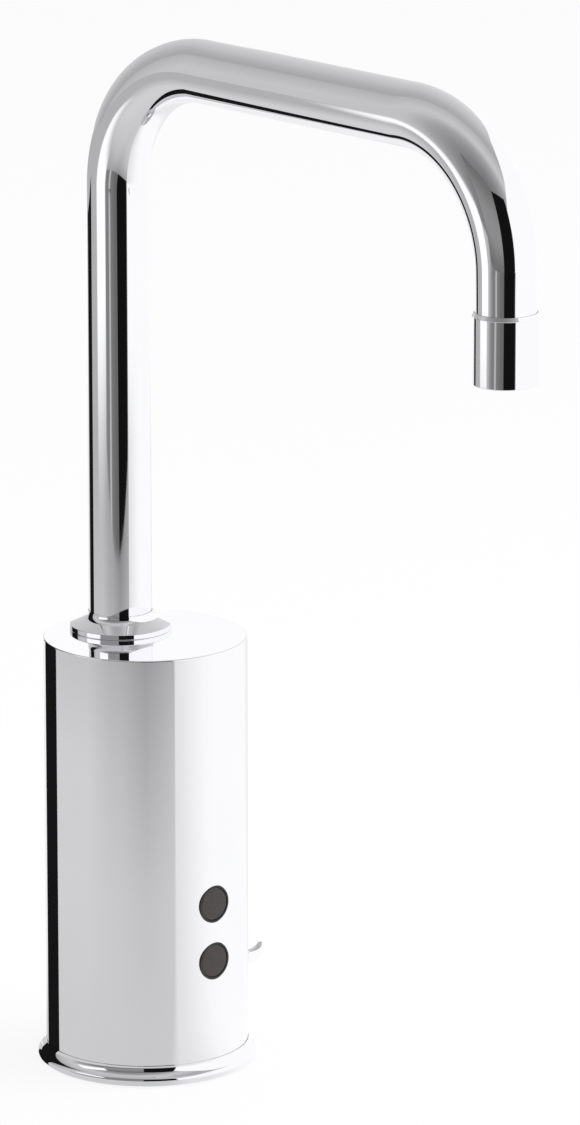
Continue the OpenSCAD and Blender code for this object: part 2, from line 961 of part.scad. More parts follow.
module hot_strainer() {
    color(steel_look)
        at_hot(port_depth)
            strainer();
}

module cold_strainer() {
    color(steel_look)
        at_cold(port_depth)
            strainer();
}

module hot_check_body() {
    color(white_look)
        at_hot(check_z)
            check_body();
}

module cold_check_body() {
    color(white_look)
        at_cold(check_z)
            check_body();
}

module hot_check_poppet() {
    color(black_look)
        at_hot(check_z)
            check_poppet();
}

module cold_check_poppet() {
    color(black_look)
        at_cold(check_z)
            check_poppet();
}

module hot_check_spring() {
    color(steel_look)
        at_hot(check_z)
            check_spring();
}

module cold_check_spring() {
    color(steel_look)
        at_cold(check_z)
            check_spring();
}

// Mixing cartridge and lever

module at_lever(x) {
    translate([x, 0, lever_z])
        children();
}

module cartridge_body() {
    color(white_look)
        difference() {
            at_lever(disc_x)
                along_x(cup_r, cup_end - disc_x);
            at_lever(disc_x - cut)
                along_x(cup_in_r, cup_inner_end - disc_x + cut);
            at_lever(disc_x)
                along_x(spindle_r + run, cup_end);
            at_lever(spindle_groove_x)
                along_x(spindle_seal_x + spindle_seal_r, 2 * spindle_seal_r);
            at_lever(mix_x)
                cylinder(r = mix_r, h = cartridge_bore_r);
        }
}

module cartridge_nut() {
    color(brass_look)
        difference() {
            at_lever(cup_end)
                along_x(cartridge_bore_r - run, boss_end - cup_end);
            at_lever(cup_end - cut)
                rotate([0, 90, 0])
                    cylinder(r = nut_hole_r, h = boss_end, $fn = 6);
        }
}

module fixed_disc() {
    color(ceramic_look)
        difference() {
            at_lever(disc_x)
                along_x(disc_r, disc_t);
            for (s = [-1, 1])
                at_lever(disc_x - cut)
                    translate([0, s * way_side, way_rise])
                        along_x(way_r, disc_t + 2 * cut);
        }
}

module moving_disc() {
    far = 2 * disc_r;
    color(ceramic_look)
        at_lever(disc_x + disc_t)
            rotate([90, 0, 90])
                linear_extrude(disc_t)
                    difference() {
                        circle(disc_r - slip);
                        difference() {
                            polygon([
                                [0, 0], [far * sin(notch_angle), far * cos(notch_angle)],
                                [-far * sin(notch_angle), far * cos(notch_angle)]
                            ]);
                            circle(notch_r);
                        }
                    }
}

module mixing_spindle() {
    color(brass_look)
        difference() {
            union() {
                at_lever(carrier_x)
                    along_x(carrier_r, carrier_t);
                at_lever(carrier_x)
                    along_x(spindle_r, hub_x + spindle_grip - carrier_x);
            }
            at_lever(hub_x)
                translate([0, -spindle_r, spindle_r - spindle_flat])
                    cube([spindle_grip + cut, spindle_d, spindle_d]);
        }
}

module spindle_seal() {
    color(rubber_look)
        at_lever(spindle_groove_x + spindle_seal_r)
            rotate([0, 90, 0])
                torus(spindle_seal_x, spindle_seal_r - run / 2);
}

module lever_bush() {
    color(black_look)
        difference() {
            union() {
                at_lever(bush_x)
                    along_x(bush_r, body_r - free - bush_x);
                at_lever(bush_x - bush_flange_t)
                    along_x(bush_flange_r, bush_flange_t);
            }
            at_lever(bush_x - bush_flange_t - cut)
                along_x(spindle_r + run, body_r - bush_x + bush_flange_t + 2 * cut);
        }
}

module mixing_lever() {
    color(chrome_look)
        difference() {
            union() {
                at_lever(hub_x)
                    along_x(hub_r, hub_w - bevel);
                at_lever(hub_x + hub_w - bevel)
                    rotate([0, 90, 0])
                        cylinder(r1 = hub_r, r2 = hub_r - bevel, h = bevel);
                at_lever(hub_x + hub_w)
                    rotate([0, 90, 0])
                        cylinder(r1 = hub_r - bevel, r2 = finger_d / 2 + finger_drop, h = hub_cone);
                finger();
            }
            difference() {
                at_lever(hub_x - cut)
                    along_x(spindle_r + run / 2, spindle_grip + slip + cut);
                at_lever(hub_x)
                    translate([0, -spindle_d, spindle_r - spindle_flat + run])
                        cube([spindle_grip + cut, 2 * spindle_d, spindle_d]);
            }
            at_lever(lever_grub_x)
                translate([0, 0, -hub_d])
                    cylinder(r = lever_grub_r, h = hub_d);
        }
}

// The lever's finger, a chain of tapered lengths between balls
module finger() {
    hull() {
        at_lever(hub_x + hub_w)
            translate([0, 0, -finger_drop])
                sphere(d = finger_d, $fn = ball_facets);
        finger_ball(0);
    }
    for (i = [0 : finger_steps - 1])
        hull() {
            finger_ball(i / finger_steps);
            finger_ball((i + 1) / finger_steps);
        }
}

// One ball of the curl, a share t of the way to its tip
module finger_ball(t) {
    at_lever(0)
        translate(curl_point(t))
            sphere(r = finger_r(t), $fn = ball_facets);
}

module lever_screw() {
    color(steel_look)
        at_lever(lever_grub_x)
            translate([0, 0, -spindle_r - run])
                rotate([-90, 0, 0])
                    grub(lever_grub_r - run, lever_grub_len, lever_grub_r / 2, lever_grub_len / 2);
}

// Solenoid valve

module at_valve(z) {
    translate([valve_x, valve_y, z])
        children();
}

module diaphragm() {
    color(rubber_look)
        at_valve(block_top)
            ring(diaphragm_r, insert_hub_r + slip, diaphragm_t);
}

module diaphragm_insert() {
    color(white_look)
        difference() {
            union() {
                at_valve(diaphragm_top)
                    cylinder(r = insert_plate_r, h = insert_plate_t);
                at_valve(block_top)
                    cylinder(r = insert_hub_r, h = diaphragm_t);
                at_valve(block_top - insert_plug_h)
                    cylinder(r = insert_plug_r, h = insert_plug_h);
            }
            at_valve(block_top - insert_plug_h - cut)
                cylinder(r = pilot_r, h = insert_plug_h + diaphragm_t + insert_plate_t + 2 * cut);
        }
}

module valve_bonnet() {
    color(black_look)
        difference() {
            union() {
                at_valve(block_top)
                    cylinder(r = bonnet_r, h = bonnet_h);
                at_bonnet_screws(block_top)
                    cylinder(r = bonnet_ear_r, h = bonnet_h);
            }
            at_valve(block_top - cut)
                cylinder(r = diaphragm_r + slip, h = diaphragm_t + cut);
            at_valve(block_top)
                cylinder(r = chamber_r, h = bonnet_ceiling - block_top);
            at_valve(block_top)
                cylinder(r = coil_bore_r, h = bonnet_h + cut);
            at_bonnet_screws(block_top - cut)
                cylinder(r = screw_r + slip, h = bonnet_h + 2 * cut);
        }
}

module bonnet_screws() {
    color(steel_look)
        at_bonnet_screws(bonnet_top)
            cap_screw(bonnet_h + bonnet_thread - 2 * slip);
}

module armature_tube() {
    color(steel_look)
        difference() {
            union() {
                at_valve(bonnet_ceiling)
                    cylinder(r = guide_out_r, h = stop_z + stop_h - bonnet_ceiling);
                at_valve(bonnet_ceiling - armature_wall)
                    cylinder(r = coil_bore_r + armature_wall, h = armature_wall);
            }
            at_valve(bonnet_ceiling - armature_wall - cut)
                cylinder(r = guide_r, h = stop_z - bonnet_ceiling + armature_wall + cut);
        }
}

module armature() {
    color(steel_look)
        difference() {
            union() {
                at_valve(armature_z)
                    cylinder(r = armature_r, h = armature_h);
                at_valve(pilot_z)
                    cylinder(r = armature_tip_r, h = armature_tip_h);
            }
            at_valve(armature_top - spring_pocket)
                cylinder(r = spring_pocket_r, h = spring_pocket + cut);
        }
}

module armature_spring() {
    color(steel_look)
        at_valve(armature_top - spring_pocket + run)
            spring(armature_spring_r, spring_pocket + stop_z - armature_top - 2 * run, armature_turns);
}

module coil() {
    color(black_look)
        difference() {
            union() {
                at_valve(bonnet_top)
                    cylinder(d = coil_d, h = coil_h - bevel);
                at_valve(bonnet_top + coil_h - bevel)
                    cylinder(d1 = coil_d, d2 = coil_d - 2 * bevel, h = bevel);
            }
            at_valve(bonnet_top - cut)
                cylinder(r = coil_bore_r, h = coil_h + 2 * cut);
        }
}

// Sensor unit

module sensor_housing() {
    color(black_look)
        difference() {
            union() {
                intersection() {
                    translate([-housing_x, -body_r, housing_low])
                        cube([2 * housing_x, body_r - housing_back, housing_top - housing_low]);
                    translate([0, 0, housing_low])
                        cylinder(r = inner_r - free, h = housing_top - housing_low);
                }
                for (z = window_zs)
                    translate([0, -body_r, z])
                        along_y(nose_r, body_r - housing_front);
                for (x = [-sensor_ear_x, sensor_ear_x])
                    translate([x, -sensor_ear_y - sensor_ear_t, sensor_ear_z])
                        along_y(sensor_ear_r, sensor_ear_t);
                translate([-sensor_ear_x, -sensor_ear_y - sensor_ear_t, sensor_ear_z - sensor_ear_r])
                    cube([2 * sensor_ear_x, sensor_ear_t, 2 * sensor_ear_r]);
            }
            translate([-housing_x + housing_wall, -housing_front, housing_low + housing_wall])
                cube([
                    2 * (housing_x - housing_wall), housing_front,
                    housing_top - housing_low - 2 * housing_wall
                ]);
            for (z = window_zs) {
                translate([0, -body_r - cut, z])
                    along_y(lens_r + run, lens_t + cut);
                translate([0, -body_r, z])
                    along_y(eye_r, body_r);
            }
            for (x = [-sensor_ear_x, sensor_ear_x])
                translate([x, -sensor_ear_y - sensor_ear_t - cut, sensor_ear_z])
                    along_y(screw_r + slip, sensor_ear_t + 2 * cut);
        }
}

module sensor_cover() {
    color(black_look)
        translate([-housing_x, -housing_back, housing_low])
            cube([2 * housing_x, cover_t, housing_top - housing_low]);
}

module circuit_board() {
    color(board_look)
        translate([-housing_x + housing_wall + slip, -board_y - board_t, housing_low + housing_wall + slip])
            cube([
                2 * (housing_x - housing_wall - slip), board_t,
                housing_top - housing_low - 2 * (housing_wall + slip)
            ]);
}

module ir_emitter() {
    color(lens_look)
        translate([0, -led_y, upper_window_z]) {
            along_y(led_r, led_h);
            sphere(r = led_r);
        }
}

module ir_receiver() {
    color(lens_look)
        difference() {
            translate([0, -led_y, lower_window_z])
                along_y(led_r, led_h);
            translate([-led_r, -led_y - cut, lower_window_z + led_r - bevel])
                cube([2 * led_r, led_h + 2 * cut, led_r]);
        }
}

// A round window with a bevelled front edge, its face flush with the body's front
module window(z) {
    color(lens_look)
        translate([0, -body_r, z])
            rotate([-90, 0, 0]) {
                cylinder(r1 = lens_r - lens_bevel, r2 = lens_r, h = lens_bevel);
                translate([0, 0, lens_bevel])
                    cylinder(r = lens_r, h = lens_t - lens_bevel);
            }
}

module emitter_window() {
    window(upper_window_z);
}

module receiver_window() {
    window(lower_window_z);
}

module sensor_screws() {
    color(steel_look)
        for (x = [-sensor_ear_x, sensor_ear_x])
            translate([x, -sensor_ear_y, sensor_ear_z])
                rotate([-90, 0, 0])
                    cap_screw(sensor_ear_t + sensor_thread - slip);
}

// Battery

module battery() {
    color(cell_look)
        translate([0, cell_y, cell_z])
            difference() {
                translate([-cell_w / 2, -cell_d / 2, 0])
                    cube([cell_w, cell_d, cell_h]);
                translate([-cell_notch / 2, -cell_d / 2 - cut, cell_h - cell_notch_depth])
                    cube([cell_notch, cell_d + 2 * cut, cell_notch_depth + cut]);
            }
}

module battery_holder() {
    color(black_look)
        difference() {
            union() {
                intersection() {
                    translate([-holder_x, cell_y - holder_half_d, tower_top])
                        cube([2 * holder_x, 2 * holder_half_d, holder_cup_h]);
                    translate([0, 0, tower_top])
                        cylinder(r = inner_r - free, h = holder_cup_h);
                }
                translate([-holder_x, cell_y + holder_half_d - holder_wall, tower_top])
                    cube([2 * holder_x, holder_wall, holder_floor + cell_h]);
                translate([-ear_pitch_x, cell_y + holder_half_d - holder_wall, tower_top])
                    cube([2 * ear_pitch_x, riser_y - cell_y - holder_half_d + holder_wall, holder_floor]);
                for (s = [-1, 1])
                    translate([s * ear_pitch_x, riser_y, tower_top])
                        cylinder(r = tower_ear_r, h = holder_floor);
            }
            translate([-cell_w / 2 - cell_gap, cell_y - cell_d / 2 - cell_gap, cell_z])
                cube([cell_w + 2 * cell_gap, cell_d + 2 * cell_gap, cell_h + cut]);
            translate([0, riser_y, tower_top - cut])
                cylinder(r = tail_r + free, h = holder_floor + 2 * cut);
            for (s = [-1, 1])
                translate([s * ear_pitch_x, riser_y, tower_top - cut])
                    cylinder(r = screw_r + slip, h = holder_floor + 2 * cut);
        }
}

module holder_screws() {
    color(steel_look)
        for (s = [-1, 1])
            translate([s * ear_pitch_x, riser_y, cell_z])
                cap_screw(holder_floor + holder_thread - slip);
}

body_shell();
base_ring();
mounting_base();
deck_gasket();
shell_screw();
spout_tube();
spout_collar();
collar_seal();
spout_tail();
spout_washer();
spout_nut();
tail_seals();
outlet_sleeve();
outlet_adaptor();
aerator_insert();
aerator_screen();
aerator_seal();
valve_manifold();
port_seals();
manifold_screws();
hot_strainer();
cold_strainer();
hot_check_body();
cold_check_body();
hot_check_poppet();
cold_check_poppet();
hot_check_spring();
cold_check_spring();
cartridge_body();
cartridge_nut();
fixed_disc();
moving_disc();
mixing_spindle();
spindle_seal();
lever_bush();
mixing_lever();
lever_screw();
diaphragm();
diaphragm_insert();
valve_bonnet();
bonnet_screws();
armature_tube();
armature();
armature_spring();
coil();
sensor_housing();
sensor_cover();
circuit_board();
ir_emitter();
ir_receiver();
emitter_window();
receiver_window();
sensor_screws();
battery();
battery_holder();
holder_screws();
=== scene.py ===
# %% [markdown]
# # A touch-free basin tap in polished chrome
#
# The tap has a round body on a moulded foot ring, a square gooseneck spout, two dark sensor windows on the front
# and a small lever at the side that sets the temperature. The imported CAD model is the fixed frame: the visible
# chromed pieces are built again here with exact mirror-smooth surfaces, and the others keep their CAD meshes and
# get a finish of their own.

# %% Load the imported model
import json
import math

import bpy
import numpy as np
from mathutils import Matrix, Vector

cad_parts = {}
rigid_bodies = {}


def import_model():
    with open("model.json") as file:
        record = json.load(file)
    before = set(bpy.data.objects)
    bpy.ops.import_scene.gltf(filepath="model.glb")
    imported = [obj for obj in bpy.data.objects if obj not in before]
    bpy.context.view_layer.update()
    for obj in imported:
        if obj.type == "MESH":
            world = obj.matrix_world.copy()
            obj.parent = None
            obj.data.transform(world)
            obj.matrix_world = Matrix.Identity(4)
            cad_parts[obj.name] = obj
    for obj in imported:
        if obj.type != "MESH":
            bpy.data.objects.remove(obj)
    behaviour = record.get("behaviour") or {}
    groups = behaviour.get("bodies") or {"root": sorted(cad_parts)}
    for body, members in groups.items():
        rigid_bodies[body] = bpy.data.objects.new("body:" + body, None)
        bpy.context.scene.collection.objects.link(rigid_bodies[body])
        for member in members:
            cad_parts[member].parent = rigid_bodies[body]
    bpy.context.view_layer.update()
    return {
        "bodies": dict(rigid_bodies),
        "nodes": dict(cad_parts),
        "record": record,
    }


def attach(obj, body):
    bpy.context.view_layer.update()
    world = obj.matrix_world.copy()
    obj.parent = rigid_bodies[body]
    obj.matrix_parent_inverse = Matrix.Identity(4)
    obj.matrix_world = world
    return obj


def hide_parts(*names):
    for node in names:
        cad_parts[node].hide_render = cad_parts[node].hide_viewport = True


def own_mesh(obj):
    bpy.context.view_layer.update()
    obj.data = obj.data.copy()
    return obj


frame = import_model()
bodies = frame["bodies"]
nodes = frame["nodes"]
MM = 0.001
print("bodies:", sorted(bodies), "nodes:", len(nodes))

# %% [markdown]
# ## Camera
#
# The photograph was taken from the front left, a little above the tap, with a long lens from about 2.4 m. A long
# lens keeps upright lines nearly parallel, as they are in the photograph. The camera's three axes are written
# down as a matrix, because they include a very small roll that a simple "look at" would leave out.

# %% Camera
CAMERA_AT = Vector((-1541.74, -1737.56, 752.08)) * MM
CAMERA_RIGHT = Vector((0.73531, -0.67773, -0.00080))
CAMERA_UP = Vector((0.16949, 0.18274, 0.96844))
CAMERA_BACK = Vector((-0.65620, -0.71224, 0.24924))
LENS_MM = 256.28
SENSOR_MM = 36

camera_data = bpy.data.cameras.new("camera")
camera_data.lens = LENS_MM
camera_data.sensor_width = SENSOR_MM
camera = bpy.data.objects.new("camera", camera_data)
axes = Matrix((CAMERA_RIGHT, CAMERA_UP, CAMERA_BACK)).transposed().to_4x4()
camera.matrix_world = Matrix.Translation(CAMERA_AT) @ axes
bpy.context.scene.collection.objects.link(camera)
bpy.context.scene.camera = camera
camera_turn = math.atan2(CAMERA_AT.x, -CAMERA_AT.y)
print("camera stands", round(math.degrees(camera_turn), 1), "degrees round from the front")

# %% [markdown]
# ## Finishes
#
# Each finish is a small node tree. Most of them share one plan: a base colour that varies a little from place to
# place, a roughness that varies with it, and a fine bump. One helper makes that plan, and each finish gives it
# its own numbers. Noise is measured in the object's own coordinates, so its grain keeps its real size.

# %% A helper for finishes
def new_material(name):
    material = bpy.data.materials.new(name)
    material.use_nodes = True
    shader = material.node_tree.nodes["Principled BSDF"]
    return material, material.node_tree, shader


def noise(tree, scale, detail=3.0, stretch=(1, 1, 1)):
    place = tree.nodes.new("ShaderNodeTexCoord")
    mapping = tree.nodes.new("ShaderNodeMapping")
    mapping.inputs["Scale"].default_value = stretch
    texture = tree.nodes.new("ShaderNodeTexNoise")
    texture.inputs["Scale"].default_value = scale
    texture.inputs["Detail"].default_value = detail
    tree.links.new(place.outputs["Object"], mapping.inputs["Vector"])
    tree.links.new(mapping.outputs["Vector"], texture.inputs["Vector"])
    return texture.outputs["Fac"]


def ramp(tree, value, stops):
    node = tree.nodes.new("ShaderNodeValToRGB")
    elements = node.color_ramp.elements
    while len(elements) < len(stops):
        elements.new(0.5)
    for element, (place, colour) in zip(elements, stops):
        element.position = place
        element.color = (*colour, 1) if isinstance(colour, tuple) else (colour, colour, colour, 1)
    tree.links.new(value, node.inputs["Fac"])
    return node.outputs["Color"]


def bump(tree, shader, height, strength, distance_mm):
    node = tree.nodes.new("ShaderNodeBump")
    node.inputs["Strength"].default_value = strength
    node.inputs["Distance"].default_value = distance_mm * MM
    tree.links.new(height, node.inputs["Height"])
    tree.links.new(node.outputs["Normal"], shader.inputs["Normal"])


def finish(name, dark, light, rough, metallic=0.0, grain=400, stretch=(1, 1, 1), bump_mm=0.0, coat=0.0):
    material, tree, shader = new_material(name)
    shader.inputs["Metallic"].default_value = metallic
    shader.inputs["Coat Weight"].default_value = coat
    grains = noise(tree, grain, stretch=stretch)
    tree.links.new(ramp(tree, grains, [(0.3, dark), (0.7, light)]), shader.inputs["Base Color"])
    tree.links.new(ramp(tree, grains, [(0.3, rough[0]), (0.7, rough[1])]), shader.inputs["Roughness"])
    if bump_mm:
        bump(tree, shader, grains, 1.0, bump_mm)
    return material


# %% Chrome
def make_chrome():
    material, tree, shader = new_material("chrome")
    shader.inputs["Metallic"].default_value = 1.0
    haze = noise(tree, 35, 4.0)
    tint = ramp(tree, haze, [(0.3, (0.955, 0.955, 0.978)), (0.7, (0.97, 0.97, 0.99))])
    tree.links.new(tint, shader.inputs["Base Color"])
    tree.links.new(ramp(tree, haze, [(0.3, 0.02), (0.75, 0.05)]), shader.inputs["Roughness"])
    bump(tree, shader, noise(tree, 60, 2.0), 0.05, 0.01)
    return material


chrome = make_chrome()

# %% Other finishes
brass = finish("machined_brass", (0.58, 0.40, 0.16), (0.78, 0.58, 0.27), (0.22, 0.38), 1.0, 900, (1, 1, 8), 0.01)
steel = finish("plain_steel", (0.50, 0.51, 0.52), (0.68, 0.69, 0.70), (0.24, 0.40), 1.0, 1200, (1, 1, 6), 0.005)
rubber = finish("black_rubber", (0.018, 0.018, 0.018), (0.035, 0.035, 0.035), (0.6, 0.8), 0.0, 2500, bump_mm=0.03)
white_plastic = finish("white_acetal", (0.76, 0.76, 0.73), (0.84, 0.84, 0.81), (0.38, 0.5), 0.0, 1500, bump_mm=0.01)
black_plastic = finish("black_moulding", (0.012, 0.012, 0.012), (0.022, 0.022, 0.023), (0.35, 0.5), 0.0, 2600,
                       bump_mm=0.015)
smoked = finish("smoked_window", (0.028, 0.019, 0.016), (0.036, 0.026, 0.023), (0.10, 0.2), 0.0, 700, coat=0.2)
dark_lens = finish("dark_lens", (0.05, 0.04, 0.07), (0.07, 0.06, 0.09), (0.08, 0.12), 0.0, 900, coat=0.6)
ceramic = finish("lapped_ceramic", (0.80, 0.78, 0.73), (0.88, 0.86, 0.82), (0.15, 0.25), 0.0, 1800)
coil_wrap = finish("coil_moulding", (0.015, 0.015, 0.02), (0.03, 0.03, 0.035), (0.45, 0.6), 0.0, 2000, bump_mm=0.02)
board = finish("green_board", (0.012, 0.10, 0.045), (0.02, 0.15, 0.07), (0.3, 0.42), 0.0, 1600, coat=0.3)
wrapper = finish("battery_wrapper", (0.05, 0.10, 0.19), (0.07, 0.13, 0.24), (0.3, 0.42), 0.0, 500, coat=0.2)

SLOT_FINISH = {
    "chrome": chrome, "brass": brass, "steel": steel, "rubber": rubber, "white_plastic": white_plastic,
    "black_plastic": black_plastic, "smoked_window": smoked, "dark_lens": dark_lens, "ceramic": ceramic,
    "coil_wrap": coil_wrap, "circuit_board": board, "battery_wrap": wrapper,
}
for part in frame["record"]["subparts"]:
    mesh = nodes[part["node"]].data
    mesh.materials.clear()
    mesh.materials.append(SLOT_FINISH[part["material_slot"]])
print("finishes:", len(SLOT_FINISH))

# %% [markdown]
# ## Mirror-smooth surfaces
#
# Chrome shows every fault of a mesh, because it shows nothing but reflections. Blender guesses how a surface
# bends from the faces round each corner, and next to an edge that guess is a degree or two wrong. The helper
# below therefore keeps the true direction of the surface at every corner of every face and hands it to the
# mesh. Nearly every piece of the tap is turned on a lathe or is a bent tube, so both come from one function
# that joins rows of rings.

# %% A skin of rings
POINT_R = 1e-6  # a ring smaller than this is a single point


def skin(name, rings, closed=True):
    """Joins rings of (point, normal before, normal after) into a mesh whose shading is exact."""
    count = max(len(ring) for ring in rings)
    points, rows = [], []
    for ring in rings:
        rows.append([len(points) + i for i in range(len(ring))])
        points += [corner[0] for corner in ring]
    faces, normals = [], []
    last = len(rings) if closed else len(rings) - 1
    for a in range(last):
        b = (a + 1) % len(rings)
        for i in range(count):
            j = (i + 1) % count
            face, face_normals = [], []
            for row, column, side in ((a, i, 2), (a, j, 2), (b, j, 1), (b, i, 1)):
                column = column if len(rings[row]) > 1 else 0
                index = rows[row][column]
                if index not in face:
                    face.append(index)
                    face_normals.append(rings[row][column][side])
            if len(face) > 2:
                faces.append(face)
                normals += face_normals
    mesh = bpy.data.meshes.new(name)
    mesh.from_pydata(points, [], faces)
    mesh.polygons.foreach_set("use_smooth", [True] * len(faces))
    mesh.normals_split_custom_set(normals)
    mesh.update()
    piece = bpy.data.objects.new(name, mesh)
    bpy.context.scene.collection.objects.link(piece)
    return piece


# %% Profiles of turned pieces
def arc(centre, radius, start, end, steps):
    """Points and normals of an arc in a profile, in degrees, with the normal away from the centre or towards it."""
    side = 1 if end > start else -1
    out = []
    for i in range(steps + 1):
        angle = math.radians(start + (end - start) * i / steps)
        out.append(((centre[0] + radius * math.cos(angle), centre[1] + radius * math.sin(angle)), angle, side))
    return out


def profile(*items):
    """A closed outline, anticlockwise with the axis on its left, from corner points and arcs.
    Gives (point, normal of the stretch before, normal of the stretch after)."""
    flat = []
    for item in items:
        if isinstance(item, tuple):
            flat.append([item, None, None])
        else:
            for k, (point, angle, side) in enumerate(item):
                normal = (math.cos(angle) * side, math.sin(angle) * side)
                flat.append([point, normal if k else None, normal if k < len(item) - 1 else None])
    out = []
    for i, (point, before, after) in enumerate(flat):
        last, coming = flat[i - 1][0], flat[(i + 1) % len(flat)][0]
        if before is None:
            before = outward(last, point)
        if after is None:
            after = outward(point, coming)
        out.append((point, before, after))
    return out


def outward(a, b):
    dx, dy = b[0] - a[0], b[1] - a[1]
    size = math.hypot(dx, dy) or 1
    return (dy / size, -dx / size)


def turned(name, outline, at=(0, 0, 0), steps=192, along=(0, 0, 1)):
    """Turns an outline in millimetres round an axis through a point."""
    spin = Vector((0, 0, 1)).rotation_difference(Vector(along)).to_matrix()
    rings = []
    for (r, z), before, after in outline:
        ring = []
        for i in range(steps if r > POINT_R else 1):
            angle = 2 * math.pi * i / steps
            c, s = math.cos(angle), math.sin(angle)
            point = spin @ Vector((r * c, r * s, z)) + Vector(at)
            ring.append((point * MM, spin @ Vector((before[0] * c, before[0] * s, before[1])),
                         spin @ Vector((after[0] * c, after[0] * s, after[1]))))
        rings.append(ring)
    return skin(name, rings)


def dress(piece, material, body, *replaced):
    """Gives a piece its finish and its body, and puts it in the place of CAD nodes."""
    piece.data.materials.append(material)
    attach(piece, body)
    if replaced:
        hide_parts(*replaced)
    low, high = [[round(1000 * v, 1) for v in corner] for corner in piece_box(piece)]
    print(piece.name, "from", low, "to", high, "mm,", len(piece.data.polygons), "faces")


def piece_box(piece):
    points = np.array([v.co for v in piece.data.vertices])
    return points.min(0), points.max(0)


# %% [markdown]
# ## Body
#
# The body is a chromed can with a flat top. Its wall and top meet in a narrow rounded edge, which shows as a
# thin grey line. Holes are cut for the spout's thread, the two windows, the lever and the grub screw at the back.
# Cutting spoils the exact shading, so it is written again afterwards from the can's own shape.

# %% Body
BODY_R, BODY_INNER_R = 30.65, 28.65
BODY_TOP, BODY_TOP_INSIDE, BODY_FOOT = 132.0, 129.0, 3.0
EDGE_R = 0.35
BODY_STEPS, EDGE_STEPS, BORE_STEPS = 256, 6, 96
RISER_Y, LEG_Y = 11.2, -154.3
TAIL_HOLE_R = 8.1
WINDOW_ZS = (36.6, 54.4)
WINDOW_HOLE_R = 5.75
LEVER_Z = 22.8
LEVER_HOLE_R = 5.3
SCREW_Z, SCREW_HOLE_R = 8.6, 2.5

shell = turned("chromed_body", profile(
    (BODY_INNER_R, BODY_FOOT), (BODY_R, BODY_FOOT),
    arc((BODY_R - EDGE_R, BODY_TOP - EDGE_R), EDGE_R, 0, 90, EDGE_STEPS),
    (0, BODY_TOP), (0, BODY_TOP_INSIDE), (BODY_INNER_R, BODY_TOP_INSIDE)), steps=BODY_STEPS)


def cut_hole(piece, at, along, radius, length):
    """Cuts a round hole that starts at a place, in millimetres, and runs along a direction."""
    bore = turned("bore", profile((0, 0), (radius, 0), (radius, length), (0, length)), at, BORE_STEPS, along)
    cutter = piece.modifiers.new("hole", "BOOLEAN")
    cutter.operation = "DIFFERENCE"
    cutter.solver = "EXACT"
    cutter.object = bore
    apply_modifiers(piece)
    bpy.data.objects.remove(bore)


def apply_modifiers(piece):
    bpy.context.view_layer.update()
    solved = piece.evaluated_get(bpy.context.evaluated_depsgraph_get())
    mesh = bpy.data.meshes.new_from_object(solved)
    piece.modifiers.clear()
    piece.data = mesh


# every bore passes through the wall or the top at one place only
cut_hole(shell, (0, RISER_Y, 125), (0, 0, 1), TAIL_HOLE_R, 10)
for window_z in WINDOW_ZS:
    cut_hole(shell, (0, -40, window_z), (0, 1, 0), WINDOW_HOLE_R, 20)
cut_hole(shell, (20, 0, LEVER_Z), (1, 0, 0), LEVER_HOLE_R, 20)
cut_hole(shell, (0, 20, SCREW_Z), (0, 1, 0), SCREW_HOLE_R, 20)


# %% The can's true shading
# two unit vectors point the same way above SAME_WAY; a face of the rounded edge faces out more than FACES_OUT
# and its direction rises more than SLOPES
SAME_WAY, FACES_OUT, SLOPES = 0.999, 0.1, 0.05
UP = Vector((0, 0, 1))


def can_normal(polygon, point):
    """The direction of the can's surface at a point of a face, or the face's own where a hole was cut."""
    r = math.hypot(point.x, point.y) / MM
    radial = Vector((point.x, point.y, 0)).normalized() if r > POINT_R else UP
    facing = polygon.normal.dot(Vector((polygon.center.x, polygon.center.y, 0)).normalized())
    slope = abs(polygon.normal.z)
    if abs(facing) > SAME_WAY:
        return radial * (1 if facing > 0 else -1)
    if slope > SAME_WAY or facing < FACES_OUT or slope < SLOPES:
        return polygon.normal.copy()
    away = radial * (r - BODY_R + EDGE_R) + UP * (point.z / MM - BODY_TOP + EDGE_R)
    return away.normalized()


def shade_exactly(piece, rule):
    """Writes the direction of the surface at every corner of every face, as the rule gives it."""
    mesh = piece.data
    mesh.polygons.foreach_set("use_smooth", [True] * len(mesh.polygons))
    normals = [None] * len(mesh.loops)
    for polygon in mesh.polygons:
        for corner in polygon.loop_indices:
            normals[corner] = rule(polygon, mesh.vertices[mesh.loops[corner].vertex_index].co)
    mesh.normals_split_custom_set(normals)


shade_exactly(shell, can_normal)
dress(shell, chrome, "tap", "body_shell")

# %% [markdown]
# ## Foot ring
#
# The ring round the foot is one moulding: a thin lip, a hollow cove and a round bead that run into each other
# without an edge. They bend the reflection of the whole room into a few thin lines, so each is a true arc. The
# cove's radius is the one that makes cove and bead touch where they run the same way.

# %% Foot ring
RING_BORE_R, RING_LIP_R, RING_H = 30.75, 30.95, 6.0
BEAD_X, BEAD_Z, BEAD_R = 31.65, 1.8, 1.5
BEAD_STEPS, COVE_STEPS = 30, 24
lip_in = BEAD_X - RING_LIP_R
COVE_R = ((RING_H - BEAD_Z) ** 2 + lip_in ** 2 - BEAD_R ** 2) / (2 * (BEAD_R + lip_in))
COVE_X = RING_LIP_R + COVE_R
join = math.degrees(math.atan2(RING_H - BEAD_Z, COVE_X - BEAD_X))
foot_ring = turned("foot_moulding", profile(
    (RING_BORE_R, 0), (BEAD_X, 0),
    arc((BEAD_X, BEAD_Z), BEAD_R, -90, join, BEAD_STEPS),
    arc((COVE_X, RING_H), COVE_R, 180 + join, 180, COVE_STEPS),
    (RING_BORE_R, RING_H)), steps=BODY_STEPS)
dress(foot_ring, chrome, "tap", "base_ring")

